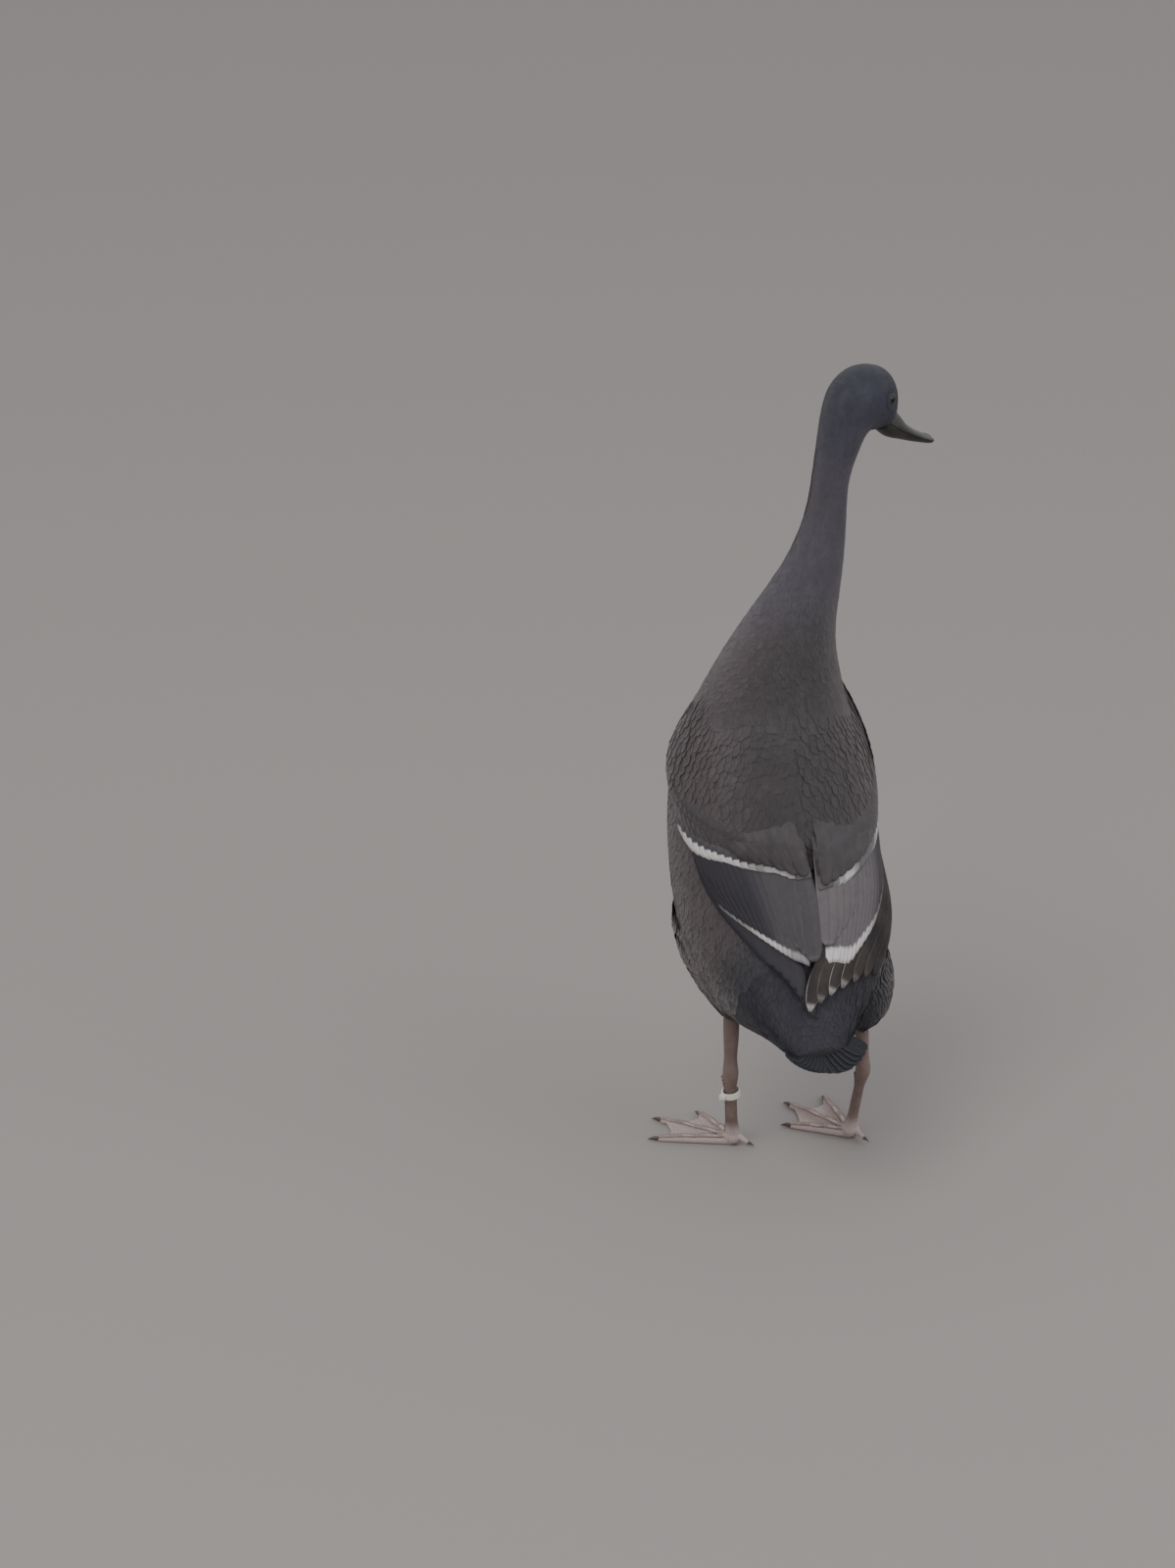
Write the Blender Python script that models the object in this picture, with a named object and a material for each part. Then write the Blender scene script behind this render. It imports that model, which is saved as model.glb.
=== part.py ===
"""A standing Indian Runner duck, life size, upright, with its head turned to its right.

Sizes are in millimetres and become metres where a mesh is made. +Z is up and the floor is z = 0.
The bird faces -Y and its left side is at +X. ORIGIN puts the middle of the whole model's box on x = y = 0.
"""

import math

import bmesh
import bpy
import numpy as np

MM = 0.001
GAP = 0.3
SLIVER = 0.02
ORIGIN = np.array((-22.0415, 34.0041, 0.0))
HEAD_YAW = math.radians(63)
HEAD_LEAN = -41.0
LEFT, RIGHT = 1, -1
SIDE_NAMES = {LEFT: "left", RIGHT: "right"}
UP = np.array((0.0, 0.0, 1.0))


class Station:
    """One cross-section of the body, from its back point to its front point."""

    def __init__(self, name, back, front, half_width, lean=0.0, turn=0.0):
        self.name = name
        self.back = back
        self.front = front
        self.half_width = half_width
        self.lean = lean
        self.turn = turn


# Each point is (forward, up) in the plane of symmetry, which turns with the neck.
STATIONS = (
    Station("tail core tip", (-124, 126), (-119, 115), 20, 4),
    Station("tail root", (-106, 155), (-88, 113), 38, 1),
    Station("rump", (-94, 187), (-50, 103), 56, -3),
    Station("hips", (-83, 221), (-6, 107), 70, -4),
    Station("belly", (-71, 255), (32, 145), 73.5, -0.5),
    Station("middle", (-59, 291), (56, 203), 71.5, 1.5),
    Station("breast", (-48, 327), (64, 259), 65.5, 1.5),
    Station("upper breast", (-38, 359), (62, 311), 53, -2),
    Station("shoulder", (-29, 389), (50, 357), 39.5, -9),
    Station("neck base", (-22, 417), (34, 397), 29.7, -20),
    Station("low neck", (-16, 445), (21, 431), 20.7, -30.4, 0.1),
    Station("middle neck", (-13, 475), (13, 466), 14.5, -37, 0.4),
    Station("upper neck", (-12, 503), (14, 494), 13.5, -40, 0.8),
    Station("nape", (-9, 526), (20, 511), 15.5, HEAD_LEAN, 1.0),
    Station("low occiput", (-3, 546), (24, 518), 17.5, HEAD_LEAN, 1.0),
    Station("occiput", (8, 561), (27, 520), 19.5, HEAD_LEAN, 1.0),
    Station("back of crown", (22, 567), (30, 520.5), 20, HEAD_LEAN, 1.0),
    Station("crown", (36, 566), (35, 519), 20, HEAD_LEAN, 1.0),
    Station("brow", (48, 560.5), (39, 518.5), 18, HEAD_LEAN, 1.0),
    Station("forehead", (55.5, 548), (42, 518), 14, HEAD_LEAN, 1.0),
    Station("bill base", (59, 533.5), (44.5, 517), 10.5, HEAD_LEAN, 1.0),
)
ORDER = {station.name: i for i, station in enumerate(STATIONS)}


def spline_through(knots, values):
    """Second derivatives of the natural cubic spline through the values at the knots."""
    step = np.diff(knots)
    count = len(knots)
    system = np.eye(count)
    right = np.zeros((count, values.shape[1]))
    for i in range(1, count - 1):
        system[i, i - 1 : i + 2] = step[i - 1], 2 * (step[i - 1] + step[i]), step[i]
        rise = (values[i + 1] - values[i]) / step[i] - (values[i] - values[i - 1]) / step[i - 1]
        right[i] = 6 * rise
    return np.linalg.solve(system, right)


def read_spline(knots, values, bends, at):
    i = int(np.clip(np.searchsorted(knots, at) - 1, 0, len(knots) - 2))
    step = knots[i + 1] - knots[i]
    a = (knots[i + 1] - at) / step
    b = (at - knots[i]) / step
    curved = (a**3 - a) * bends[i] + (b**3 - b) * bends[i + 1]
    return a * values[i] + b * values[i + 1] + curved * step**2 / 6


def station_row(station):
    """Back point and front point in space, the direction of the bird's left there, and the half width."""
    turn = HEAD_YAW * station.turn
    ahead = np.array((-math.sin(turn), -math.cos(turn), 0.0))
    left = np.array((math.cos(turn), -math.sin(turn), 0.0))
    lean = np.array((station.lean, 0.0, 0.0))
    back = lean + ahead * station.back[0] + UP * station.back[1]
    front = lean + ahead * station.front[0] + UP * station.front[1]
    return np.concatenate([back, front, left, [station.half_width]])


ROWS = np.array([station_row(station) for station in STATIONS])
MIDDLES = (ROWS[:, 0:3] + ROWS[:, 3:6]) / 2
KNOTS = np.concatenate([[0.0], np.cumsum(np.linalg.norm(np.diff(MIDDLES, axis=0), axis=1))])
BENDS = spline_through(KNOTS, ROWS)


def knot(name):
    """How far along the body a named station is, from the tail."""
    return KNOTS[ORDER[name]]


def section(along):
    """Centre, back direction and left direction scaled to the half sizes, and the unit normal towards the head."""
    row = read_spline(KNOTS, ROWS, BENDS, along)
    back, front, left, width = row[0:3], row[3:6], row[6:9], row[9]
    deep = (back - front) / 2
    left = left / np.linalg.norm(left)
    normal = np.cross(left, deep)
    return (back + front) / 2, deep, left * width, normal / np.linalg.norm(normal)


def ring_point(cut, around, shift=0.0):
    """A point of a section's outline, around 0 at the back and growing to the bird's left."""
    centre, deep, wide, normal = cut
    return centre + deep * math.cos(around) + wide * math.sin(around) + normal * shift


def surface(along, around):
    """A point on the body, its outward normal, and its travel for each unit of along and of around."""
    here = ring_point(section(along), around)
    ahead = (ring_point(section(along + 0.5), around) - here) / 0.5
    beside = (ring_point(section(along), around + 0.01) - here) / 0.01
    outward = np.cross(ahead, beside)
    return here, outward / np.linalg.norm(outward), ahead, beside


def skin(along, around, lift=0.0):
    """A point on the body, raised along the outward normal."""
    here, outward, ahead, beside = surface(along, around)
    return here + outward * lift


def material(name, colour, roughness):
    made = bpy.data.materials.new(name)
    made.use_nodes = True
    shader = made.node_tree.nodes["Principled BSDF"]
    shader.inputs["Base Color"].default_value = (*colour, 1.0)
    shader.inputs["Roughness"].default_value = roughness
    return made


def mesh_object(name, points, faces, finish):
    """Points in millimetres become a closed object in metres, with its faces pointing outwards."""
    mesh = bpy.data.meshes.new(name)
    mesh.from_pydata([tuple((np.asarray(p) - ORIGIN) * MM) for p in points], [], faces)
    shape = bmesh.new()
    shape.from_mesh(mesh)
    bmesh.ops.recalc_face_normals(shape, faces=shape.faces)
    shape.to_mesh(mesh)
    shape.free()
    mesh.materials.append(finish)
    made = bpy.data.objects.new(name, mesh)
    bpy.context.scene.collection.objects.link(made)
    return made


def loft(name, rings, finish):
    """Closed rings of equal count, joined in order, with flat ends."""
    count = len(rings[0])
    points = [p for ring in rings for p in ring]
    faces = []
    for i in range(len(rings) - 1):
        for j in range(count):
            k = (j + 1) % count
            faces.append((i * count + j, i * count + k, (i + 1) * count + k, (i + 1) * count + j))
    faces.append(tuple(range(count)))
    faces.append(tuple((len(rings) - 1) * count + j for j in range(count)))
    return mesh_object(name, points, faces, finish)


def turns(sides):
    return [2 * math.pi * j / sides for j in range(sides)]


def circle(middle, first, second, radius, sides):
    """A ring of points around a middle, in the plane of two unit directions."""
    return [middle + (first * math.cos(turn) + second * math.sin(turn)) * radius for turn in turns(sides)]


def hoop(name, rings, finish):
    """Closed rings joined in order and the last to the first."""
    count = len(rings[0])
    points = [p for ring in rings for p in ring]
    faces = []
    for i in range(len(rings)):
        n = (i + 1) % len(rings)
        for j in range(count):
            k = (j + 1) % count
            faces.append((i * count + j, i * count + k, n * count + k, n * count + j))
    return mesh_object(name, points, faces, finish)


def body_loft(name, first, last, ring_count, sides, finish, lift=0.0):
    """The body between two distances along it, ending half a gap short of each unless it is raised."""
    rings = []
    for along in np.linspace(first, last, ring_count):
        shift = 0.0
        if along == first and first > KNOTS[0] and lift == 0.0:
            shift = GAP / 2
        if along == last and last < KNOTS[-1] and lift == 0.0:
            shift = -GAP / 2
        normal = section(along)[3]
        rings.append([skin(along, turn, lift) + normal * shift for turn in turns(sides)])
    return loft(name, rings, finish)


def ellipsoid(name, centre, axes, radii, finish, segments=12, rows=8):
    """A closed round body with its three radii along three directions."""
    centre = np.asarray(centre, float)
    points = [centre + axes[2] * radii[2]]
    for i in range(1, rows):
        fall = math.pi * i / rows
        for turn in turns(segments):
            flat = axes[0] * radii[0] * math.cos(turn) + axes[1] * radii[1] * math.sin(turn)
            points.append(centre + flat * math.sin(fall) + axes[2] * radii[2] * math.cos(fall))
    points.append(centre - axes[2] * radii[2])
    last = len(points) - 1
    faces = []
    for j in range(segments):
        k = (j + 1) % segments
        faces.append((0, 1 + j, 1 + k))
        faces.append((last, last - segments + k, last - segments + j))
        for i in range(rows - 2):
            a = 1 + i * segments
            faces.append((a + j, a + segments + j, a + segments + k, a + k))
    return mesh_object(name, points, faces, finish)


def enclosed(island):
    """Six times the volume inside a closed set of faces."""
    total = 0.0
    for face in island:
        corners = [loop.vert.co for loop in face.loops]
        for i in range(1, len(corners) - 1):
            total += corners[0].dot(corners[i].cross(corners[i + 1]))
    return total


def keep_largest(mesh):
    """Leave only the closed surface with the largest volume."""
    shape = bmesh.new()
    shape.from_mesh(mesh)
    bmesh.ops.remove_doubles(shape, verts=shape.verts, dist=SLIVER * MM)
    bmesh.ops.dissolve_degenerate(shape, dist=SLIVER * MM, edges=shape.edges)
    waiting = set(shape.faces)
    islands = []
    while waiting:
        stack = [waiting.pop()]
        island = list(stack)
        while stack:
            simple = [edge for edge in stack.pop().edges if len(edge.link_faces) == 2]
            for face in {face for edge in simple for face in edge.link_faces} & waiting:
                waiting.remove(face)
                stack.append(face)
                island.append(face)
        islands.append(island)
    islands.sort(key=enclosed)
    bmesh.ops.delete(shape, geom=[face for island in islands[:-1] for face in island], context="FACES")
    shape.to_mesh(mesh)
    shape.free()


def combine(made, others, operation):
    """Join the others to an object, or cut them out of it, and remove them."""
    group = bpy.data.collections.new("operands")
    bpy.context.scene.collection.children.link(group)
    for other in others:
        bpy.context.scene.collection.objects.unlink(other)
        group.objects.link(other)
    step = made.modifiers.new("combine", "BOOLEAN")
    step.operation = operation
    step.operand_type = "COLLECTION"
    step.collection = group
    step.solver = "EXACT"
    graph = bpy.context.evaluated_depsgraph_get()
    result = bpy.data.meshes.new_from_object(made.evaluated_get(graph))
    made.modifiers.clear()
    made.data = result
    keep_largest(result)
    for other in others:
        bpy.data.objects.remove(other)
    bpy.data.collections.remove(group)
    return made


# A feather's outline from its root to its tip: how far along, and how wide there.
FEATHER_OUTLINE = ((0.0, 0.6), (0.3, 0.9), (0.55, 1.0), (0.78, 0.98), (0.93, 0.72), (1.0, 0.3))
SHORT_OUTLINE = ((0.0, 0.75), (0.5, 1.0), (0.88, 0.8), (1.0, 0.3))
VANE_THICKNESS = 0.65


def vane(place, outline, finish):
    """A thin feather; place(t, s, lift) gives the point t along it and s across it, raised by lift.

    Both faces are split along the same diagonals, so that a curved vane keeps its thickness.
    """
    points = []
    for t, width in outline:
        for s, above in ((-1, 0.5), (0, 0.8), (1, 0.5), (1, -0.5), (0, -0.5), (-1, -0.5)):
            points.append(place(t, s * width, above * VANE_THICKNESS))
    faces = []
    for i in range(len(outline) - 1):
        a, b = 6 * i, 6 * i + 6
        for j, k in ((0, 1), (1, 2), (5, 4), (4, 3)):
            faces.append((a + j, a + k, b + k))
            faces.append((a + j, b + k, b + j))
        for j, k in ((2, 3), (5, 0)):
            faces.append((a + j, a + k, b + k, b + j))
    for a in (0, 6 * (len(outline) - 1)):
        faces.append((a, a + 1, a + 4, a + 5))
        faces.append((a + 1, a + 2, a + 3, a + 4))
    return mesh_object("vane", points, faces, finish)


def skin_vane(root, tip, half_width, lifts, tilt, outline, finish, bow=0.0):
    """A feather that lies along the body from root to tip, each (along, around in degrees)."""
    root = np.array((root[0], math.radians(root[1])))
    tip = np.array((tip[0], math.radians(tip[1])))
    reach = tip - root
    bow = math.radians(bow)

    def place(t, s, above):
        along, around = root + reach * t
        around += bow * math.sin(math.pi * t)
        here, outward, ahead, beside = surface(along, around)
        course = ahead * reach[0] + beside * (reach[1] + bow * math.pi * math.cos(math.pi * t))
        across = np.cross(outward, course)
        across *= math.copysign(half_width, across @ beside) / np.linalg.norm(across) * s
        slide = np.linalg.lstsq(np.column_stack([ahead, beside]), across, rcond=None)[0]
        lift = np.interp(t, (0.0, 0.5, 1.0), lifts) + tilt * s + above
        return skin(along + slide[0], around + slide[1], lift)

    return vane(place, outline, finish)


def clear_scene():
    for thing in list(bpy.data.objects):
        bpy.data.objects.remove(thing)


clear_scene()

DARK_FEATHER = material("dark_feather", (0.035, 0.033, 0.038), 0.6)
HEAD_FEATHER = material("head_feather", (0.012, 0.014, 0.022), 0.4)
WING_FEATHER = material("wing_feather", (0.09, 0.085, 0.095), 0.55)
BLACK_FEATHER = material("black_feather", (0.008, 0.008, 0.012), 0.45)
FLANK_FEATHER = material("flank_feather", (0.09, 0.07, 0.06), 0.7)
BILL_HORN = material("bill_horn", (0.16, 0.17, 0.12), 0.4)
EYE_BLACK = material("eye_black", (0.01, 0.007, 0.005), 0.08)
LEG_SKIN = material("leg_skin", (0.32, 0.16, 0.11), 0.55)
CLAW_HORN = material("claw_horn", (0.05, 0.04, 0.035), 0.45)
BAND_PLASTIC = material("band_plastic", (0.75, 0.74, 0.7), 0.4)

# The torso runs from the tail root to the neck base, and the neck is cut in two below the head.
TORSO_RINGS, TORSO_SIDES = 26, 32
NECK_RINGS = (7, 4)
NECK_SIDES = 28
body_loft("torso", knot("tail root"), knot("neck base"), TORSO_RINGS, TORSO_SIDES, DARK_FEATHER)
body_loft("neck_lower", knot("neck base"), knot("middle neck"), NECK_RINGS[0], NECK_SIDES, DARK_FEATHER)
body_loft("neck_upper", knot("middle neck"), knot("upper neck"), NECK_RINGS[1], NECK_SIDES, HEAD_FEATHER)


def torso_cutter():
    """The torso raised by the gap, which trims what lies on it."""
    return body_loft("cutter", knot("tail root"), knot("neck base"), TORSO_RINGS, TORSO_SIDES, DARK_FEATHER, GAP)


# The head's eyes sit in round sockets, each inside a ring of lid.
HEAD_RINGS = 22
EYE_ALONG = 510.0
EYE_AROUND = math.radians(82)
EYE_RADIUS = 4.75
EYE_DEPTH = 3.6
LID_RADIUS = 5.6
LID_THICKNESS = 1.15
LID_DEPTH = 0.5


def eye_frame(side):
    """Eye centre and three axes, the third pointing out of the head."""
    here, outward, ahead, beside = surface(EYE_ALONG, side * EYE_AROUND)
    level = np.cross(outward, UP)
    level /= np.linalg.norm(level)
    return here - outward * EYE_DEPTH, (level, np.cross(outward, level), outward)


def lid_ring(side):
    centre, axes = eye_frame(side)
    rings = []
    for turn in turns(18):
        spoke = axes[0] * math.cos(turn) + axes[1] * math.sin(turn)
        middle = centre + spoke * LID_RADIUS + axes[2] * (EYE_DEPTH - LID_DEPTH)
        rings.append(circle(middle, spoke, axes[2], LID_THICKNESS, 6))
    return hoop("lid", rings, HEAD_FEATHER)


head = body_loft("head", knot("upper neck"), knot("bill base"), HEAD_RINGS, NECK_SIDES, HEAD_FEATHER)
combine(head, [lid_ring(LEFT), lid_ring(RIGHT)], "UNION")
sockets = []
for side in (LEFT, RIGHT):
    centre, axes = eye_frame(side)
    sockets.append(ellipsoid("socket", centre, axes, [EYE_RADIUS + GAP] * 3, HEAD_FEATHER, 16, 10))
    ellipsoid("eye_" + SIDE_NAMES[side], centre, axes, [EYE_RADIUS] * 3, EYE_BLACK, 16, 10)
combine(head, sockets, "DIFFERENCE")

# The bill points ahead of the head and down. Each row is how far out, the half width, the height over
# the mouth line and the depth under it.
HEAD_AHEAD = np.array((-math.sin(HEAD_YAW), -math.cos(HEAD_YAW), 0.0))
HEAD_LEFT = np.array((math.cos(HEAD_YAW), -math.sin(HEAD_YAW), 0.0))
BILL_PITCH = math.radians(33)
BILL_OUT = HEAD_AHEAD * math.cos(BILL_PITCH) - UP * math.sin(BILL_PITCH)
BILL_UP = HEAD_AHEAD * math.sin(BILL_PITCH) + UP * math.cos(BILL_PITCH)
BILL_ROWS = (
    (0.0, 9.5, 11.8, 6.2),
    (5.7, 9.2, 10.3, 5.0),
    (13.0, 8.7, 8.4, 4.4),
    (22.5, 8.6, 6.5, 3.8),
    (34.0, 9.5, 5.0, 3.2),
    (43.0, 10.3, 4.2, 2.6),
    (49.5, 9.4, 3.5, 2.0),
    (53.5, 6.8, 2.7, 1.4),
    (56.0, 3.0, 1.7, 1.0),
)
MOUTH_DROP = 3.0
MOUTH_RISE = 2.5
MOUTH_SAG = 0.8
MOUTH_GAP = 0.35
BILL_SIDES = 16


def bill_frame(out):
    """Centre of the mouth line and the upward direction of the bill's section there."""
    centre, deep, wide, normal = section(KNOTS[-1])
    if out == 0.0:
        up = deep / np.linalg.norm(deep)
        return centre + normal * GAP - up * MOUTH_DROP, up
    rise = MOUTH_RISE * (out / BILL_ROWS[-1][0]) ** 2 - MOUTH_DROP
    return centre + BILL_OUT * out + BILL_UP * rise, BILL_UP


def bill_ring(row, upper):
    """A section of either half; both follow the sagging mouth line, a gap apart."""
    out, half_width, height, depth = row
    centre, up = bill_frame(out)
    ring = []
    for turn in turns(BILL_SIDES):
        x, y = half_width * math.cos(turn), math.sin(turn)
        if upper:
            ring.append(centre + HEAD_LEFT * x + up * y * (height if y > 0 else MOUTH_SAG))
        else:
            fall = -MOUTH_SAG * y if y > 0 else (MOUTH_SAG + depth) * y
            ring.append(centre + HEAD_LEFT * x * 0.95 + up * (fall - MOUTH_GAP))
    return ring


bill_upper = loft("bill_upper", [bill_ring(row, True) for row in BILL_ROWS], BILL_HORN)
loft("bill_lower", [bill_ring(row, False) for row in BILL_ROWS[:-1]], BILL_HORN)
NAIL_OUT = 52.5
NAIL_RISE = 2.0
NAIL_RADII = (4.2, 3.2, 1.7)
nail_centre, nail_up = bill_frame(NAIL_OUT)
nail_axes = (BILL_OUT, HEAD_LEFT, nail_up)
nail = ellipsoid("nail", nail_centre + nail_up * NAIL_RISE, nail_axes, NAIL_RADII, BILL_HORN, 10, 6)
combine(bill_upper, [nail], "UNION")
NOSTRIL_ROW = BILL_ROWS[2]
NOSTRIL_TURN = math.radians(52)
NOSTRIL_RADII = (3.0, 1.1, 1.4)
nostrils = []
for side in (LEFT, RIGHT):
    centre, up = bill_frame(NOSTRIL_ROW[0])
    wide = HEAD_LEFT * side * math.cos(NOSTRIL_TURN)
    high = up * math.sin(NOSTRIL_TURN)
    place = centre + wide * NOSTRIL_ROW[1] + high * NOSTRIL_ROW[2]
    axes = (BILL_OUT, np.cross(wide + high, BILL_OUT), wide + high)
    nostrils.append(ellipsoid("nostril", place, axes, NOSTRIL_RADII, BILL_HORN, 10, 6))
combine(bill_upper, nostrils, "DIFFERENCE")

# Each folded wing is a raised pad of coverts and scapulars, over three tiers of long feathers. Places
# on it are (along the body, degrees around from the back ridge).
PAD_INNER = 0.8
PAD_OUTER = 104.0
PAD_BEND = 68.0
PAD_SLOPE = 1.5
PAD_COLUMNS, PAD_ROWS = 12, 8
PAD_SINK = 3.0
PAD_TOP = 8.0
PAD_EDGE = 1.4
WRIST_ALONG, WRIST_RISE = 256.0, 26.0
WRIST_AROUND, WRIST_REACH = 92.0, 24.0
COVERT_SHOW = 24.0
COVERT_COUNT = 8
COVERT_ROOTS, COVERT_TIPS = (9.0, 68.0), (7.4, 64.5)
COVERT_HALF_WIDTH = 5.6
COVERT_LIFTS, COVERT_TILT = (6.8, 6.6, 6.2), 1.1
SECONDARY_COUNT = 8
SECONDARY_ROOTS, SECONDARY_TIPS = (7.8, 64.5), (6.9, 46.6)
SECONDARY_HALF_WIDTH = 6.4
SECONDARY_LIFTS, SECONDARY_TILT = (4.4, 4.4, 4.2), 1.3
PRIMARY_COUNT = 6
PRIMARY_ROOTS = (52.0, 64.0)
PRIMARY_HALF_WIDTH = 6.0
PRIMARY_LIFTS = {
    LEFT: ((1.7, 1.8, 2.6), (1.7, 1.8, 2.6)),
    RIGHT: ((1.7, 1.9, 6.0), (1.7, 1.9, 3.4)),
}
PRIMARY_TILT = 0.9
PRIMARY_BOW = {LEFT: 6.0, RIGHT: -9.0}
PRIMARY_TIPS = {LEFT: ((19.0, 8.0), (52.0, 32.0)), RIGHT: ((23.0, 13.0), (47.0, -50.0))}
ROOT_COVER = 6.5


def covert_edge(around):
    """How far along the body the tips of the greater coverts lie."""
    return 104 + 0.0155 * around**2


def trailing_edge(around):
    """How far along the body the tips of the secondaries lie."""
    return 47 + 0.0215 * around**2


def pad_low(around):
    """Lower edge of the pad, which covers the roots of the coverts."""
    if around < PAD_BEND:
        return covert_edge(around) + COVERT_SHOW
    return covert_edge(PAD_BEND) + COVERT_SHOW + (around - PAD_BEND) * PAD_SLOPE


def pad_high(around):
    """Upper edge of the pad, highest at the wing's bend."""
    return WRIST_ALONG + WRIST_RISE * math.exp(-(((around - WRIST_AROUND) / WRIST_REACH) ** 2))


def wing_pad(side):
    """The pad as a thick sheet whose underside is sunk in the body."""
    top, bottom = [], []
    for i in range(PAD_COLUMNS + 1):
        across = i / PAD_COLUMNS
        around = PAD_INNER + (PAD_OUTER - PAD_INNER) * across
        for j in range(PAD_ROWS + 1):
            up = j / PAD_ROWS
            along = pad_low(around) + (pad_high(around) - pad_low(around)) * up
            fade = (1 - up**3) * (1 - across**10) * (1 - 0.5 * (1 - across) ** 8) * (1 - 0.35 * up)
            turn = side * math.radians(around)
            top.append(skin(along, turn, PAD_EDGE + (PAD_TOP - PAD_EDGE) * fade))
            bottom.append(skin(along, turn, -PAD_SINK))
    rows = PAD_ROWS + 1
    half = len(top)
    faces = []
    for i in range(PAD_COLUMNS):
        for j in range(PAD_ROWS):
            a = i * rows + j
            faces.append((a, a + rows, a + rows + 1, a + 1))
            faces.append((half + a, half + a + 1, half + a + rows + 1, half + a + rows))
        for a in (i * rows, i * rows + PAD_ROWS):
            faces.append((a, half + a, half + a + rows, a + rows))
    for j in range(PAD_ROWS):
        for a in (j, PAD_COLUMNS * rows + j):
            faces.append((a, a + 1, half + a + 1, half + a))
    return mesh_object("wing_" + SIDE_NAMES[side], top + bottom, faces, WING_FEATHER)


def tier(count, roots, tips):
    """Places around the body of the roots and the tips of one tier of a wing's feathers."""
    return zip(np.linspace(*roots, count), np.linspace(*tips, count))


def coverts(side):
    made = []
    for root, tip in tier(COVERT_COUNT, COVERT_ROOTS, COVERT_TIPS):
        start, end = (pad_low(root) + ROOT_COVER, side * root), (covert_edge(tip), side * tip)
        made.append(skin_vane(
            start, end, COVERT_HALF_WIDTH, COVERT_LIFTS, COVERT_TILT, SHORT_OUTLINE, WING_FEATHER))
    return made


def secondaries(side):
    """The inner three are the tertials."""
    made = []
    for root, tip in tier(SECONDARY_COUNT, SECONDARY_ROOTS, SECONDARY_TIPS):
        start, end = (pad_low(root) + ROOT_COVER, side * root), (trailing_edge(tip), side * tip)
        made.append(skin_vane(
            start, end, SECONDARY_HALF_WIDTH, SECONDARY_LIFTS, SECONDARY_TILT, FEATHER_OUTLINE, WING_FEATHER))
    return made


def primaries(side):
    """The right wing's tips lie over the left wing's and cross the ridge of the rump."""
    first, last = np.array(PRIMARY_TIPS[side])
    first_lifts, last_lifts = np.array(PRIMARY_LIFTS[side])
    made = []
    for part in np.linspace(0, 1, PRIMARY_COUNT):
        root = PRIMARY_ROOTS[0] * (1 - part) + PRIMARY_ROOTS[1] * part
        start, end = (pad_low(root) + ROOT_COVER, side * root), first * (1 - part) + last * part
        lifts = first_lifts * (1 - part) + last_lifts * part
        made.append(skin_vane(
            start, end, PRIMARY_HALF_WIDTH, lifts, PRIMARY_TILT, FEATHER_OUTLINE, WING_FEATHER, PRIMARY_BOW[side]))
    return made


for side in (LEFT, RIGHT):
    wing = wing_pad(side)
    combine(wing, coverts(side) + secondaries(side) + primaries(side), "UNION")
    combine(wing, [torso_cutter()], "DIFFERENCE")

# The tail is a wedge of small feathers with a fan of twelve long ones, the middle pair on top.
TAIL_COUNT = 12
TAIL_SPREAD = math.radians(34)
TAIL_LENGTH = 41.0
TAIL_SHORTER = 3.5
TAIL_ROOT = 12.0
TAIL_HALF_WIDTH = 7.5
TAIL_LAYER = 1.0
TAIL_CORE_TOP = 2.2

tail = body_loft("tail", KNOTS[0], knot("tail root"), 5, 24, BLACK_FEATHER)
tail_root = section(knot("tail root"))[0]
tail_tip = section(KNOTS[0])[0]
TAIL_OUT = (tail_tip - tail_root) / np.linalg.norm(tail_tip - tail_root)
TAIL_LEFT = np.cross(UP, TAIL_OUT)
TAIL_LEFT /= -np.linalg.norm(TAIL_LEFT)
TAIL_TOP = np.cross(TAIL_OUT, TAIL_LEFT)


def tail_vane(number):
    middle = (TAIL_COUNT - 1) / 2
    spread = (number - middle) / middle
    turn = TAIL_SPREAD * spread
    length = TAIL_LENGTH - TAIL_SHORTER * spread**2
    course = TAIL_OUT * math.cos(turn) + TAIL_LEFT * math.sin(turn)
    across = TAIL_LEFT * math.cos(turn) - TAIL_OUT * math.sin(turn)
    layer = TAIL_CORE_TOP - TAIL_LAYER * (abs(number - middle) - 0.5)
    if number > middle:
        layer -= TAIL_LAYER / 2

    def place(t, s, above):
        out = TAIL_ROOT + (length - TAIL_ROOT) * t
        return tail_root + course * out + across * TAIL_HALF_WIDTH * s + TAIL_TOP * (layer + above)

    return vane(place, FEATHER_OUTLINE, BLACK_FEATHER)


combine(tail, [tail_vane(number) for number in range(TAIL_COUNT)], "UNION")


# The legs. Each row is a level ring: x, y, z of its middle, and its half width and half depth.
def level_loft(name, rows, sides, finish):
    rings = []
    for x, y, z, half_x, half_y in rows:
        rings.append([(x + half_x * math.cos(turn), y + half_y * math.sin(turn), z) for turn in turns(sides)])
    return loft(name, rings, finish)


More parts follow.
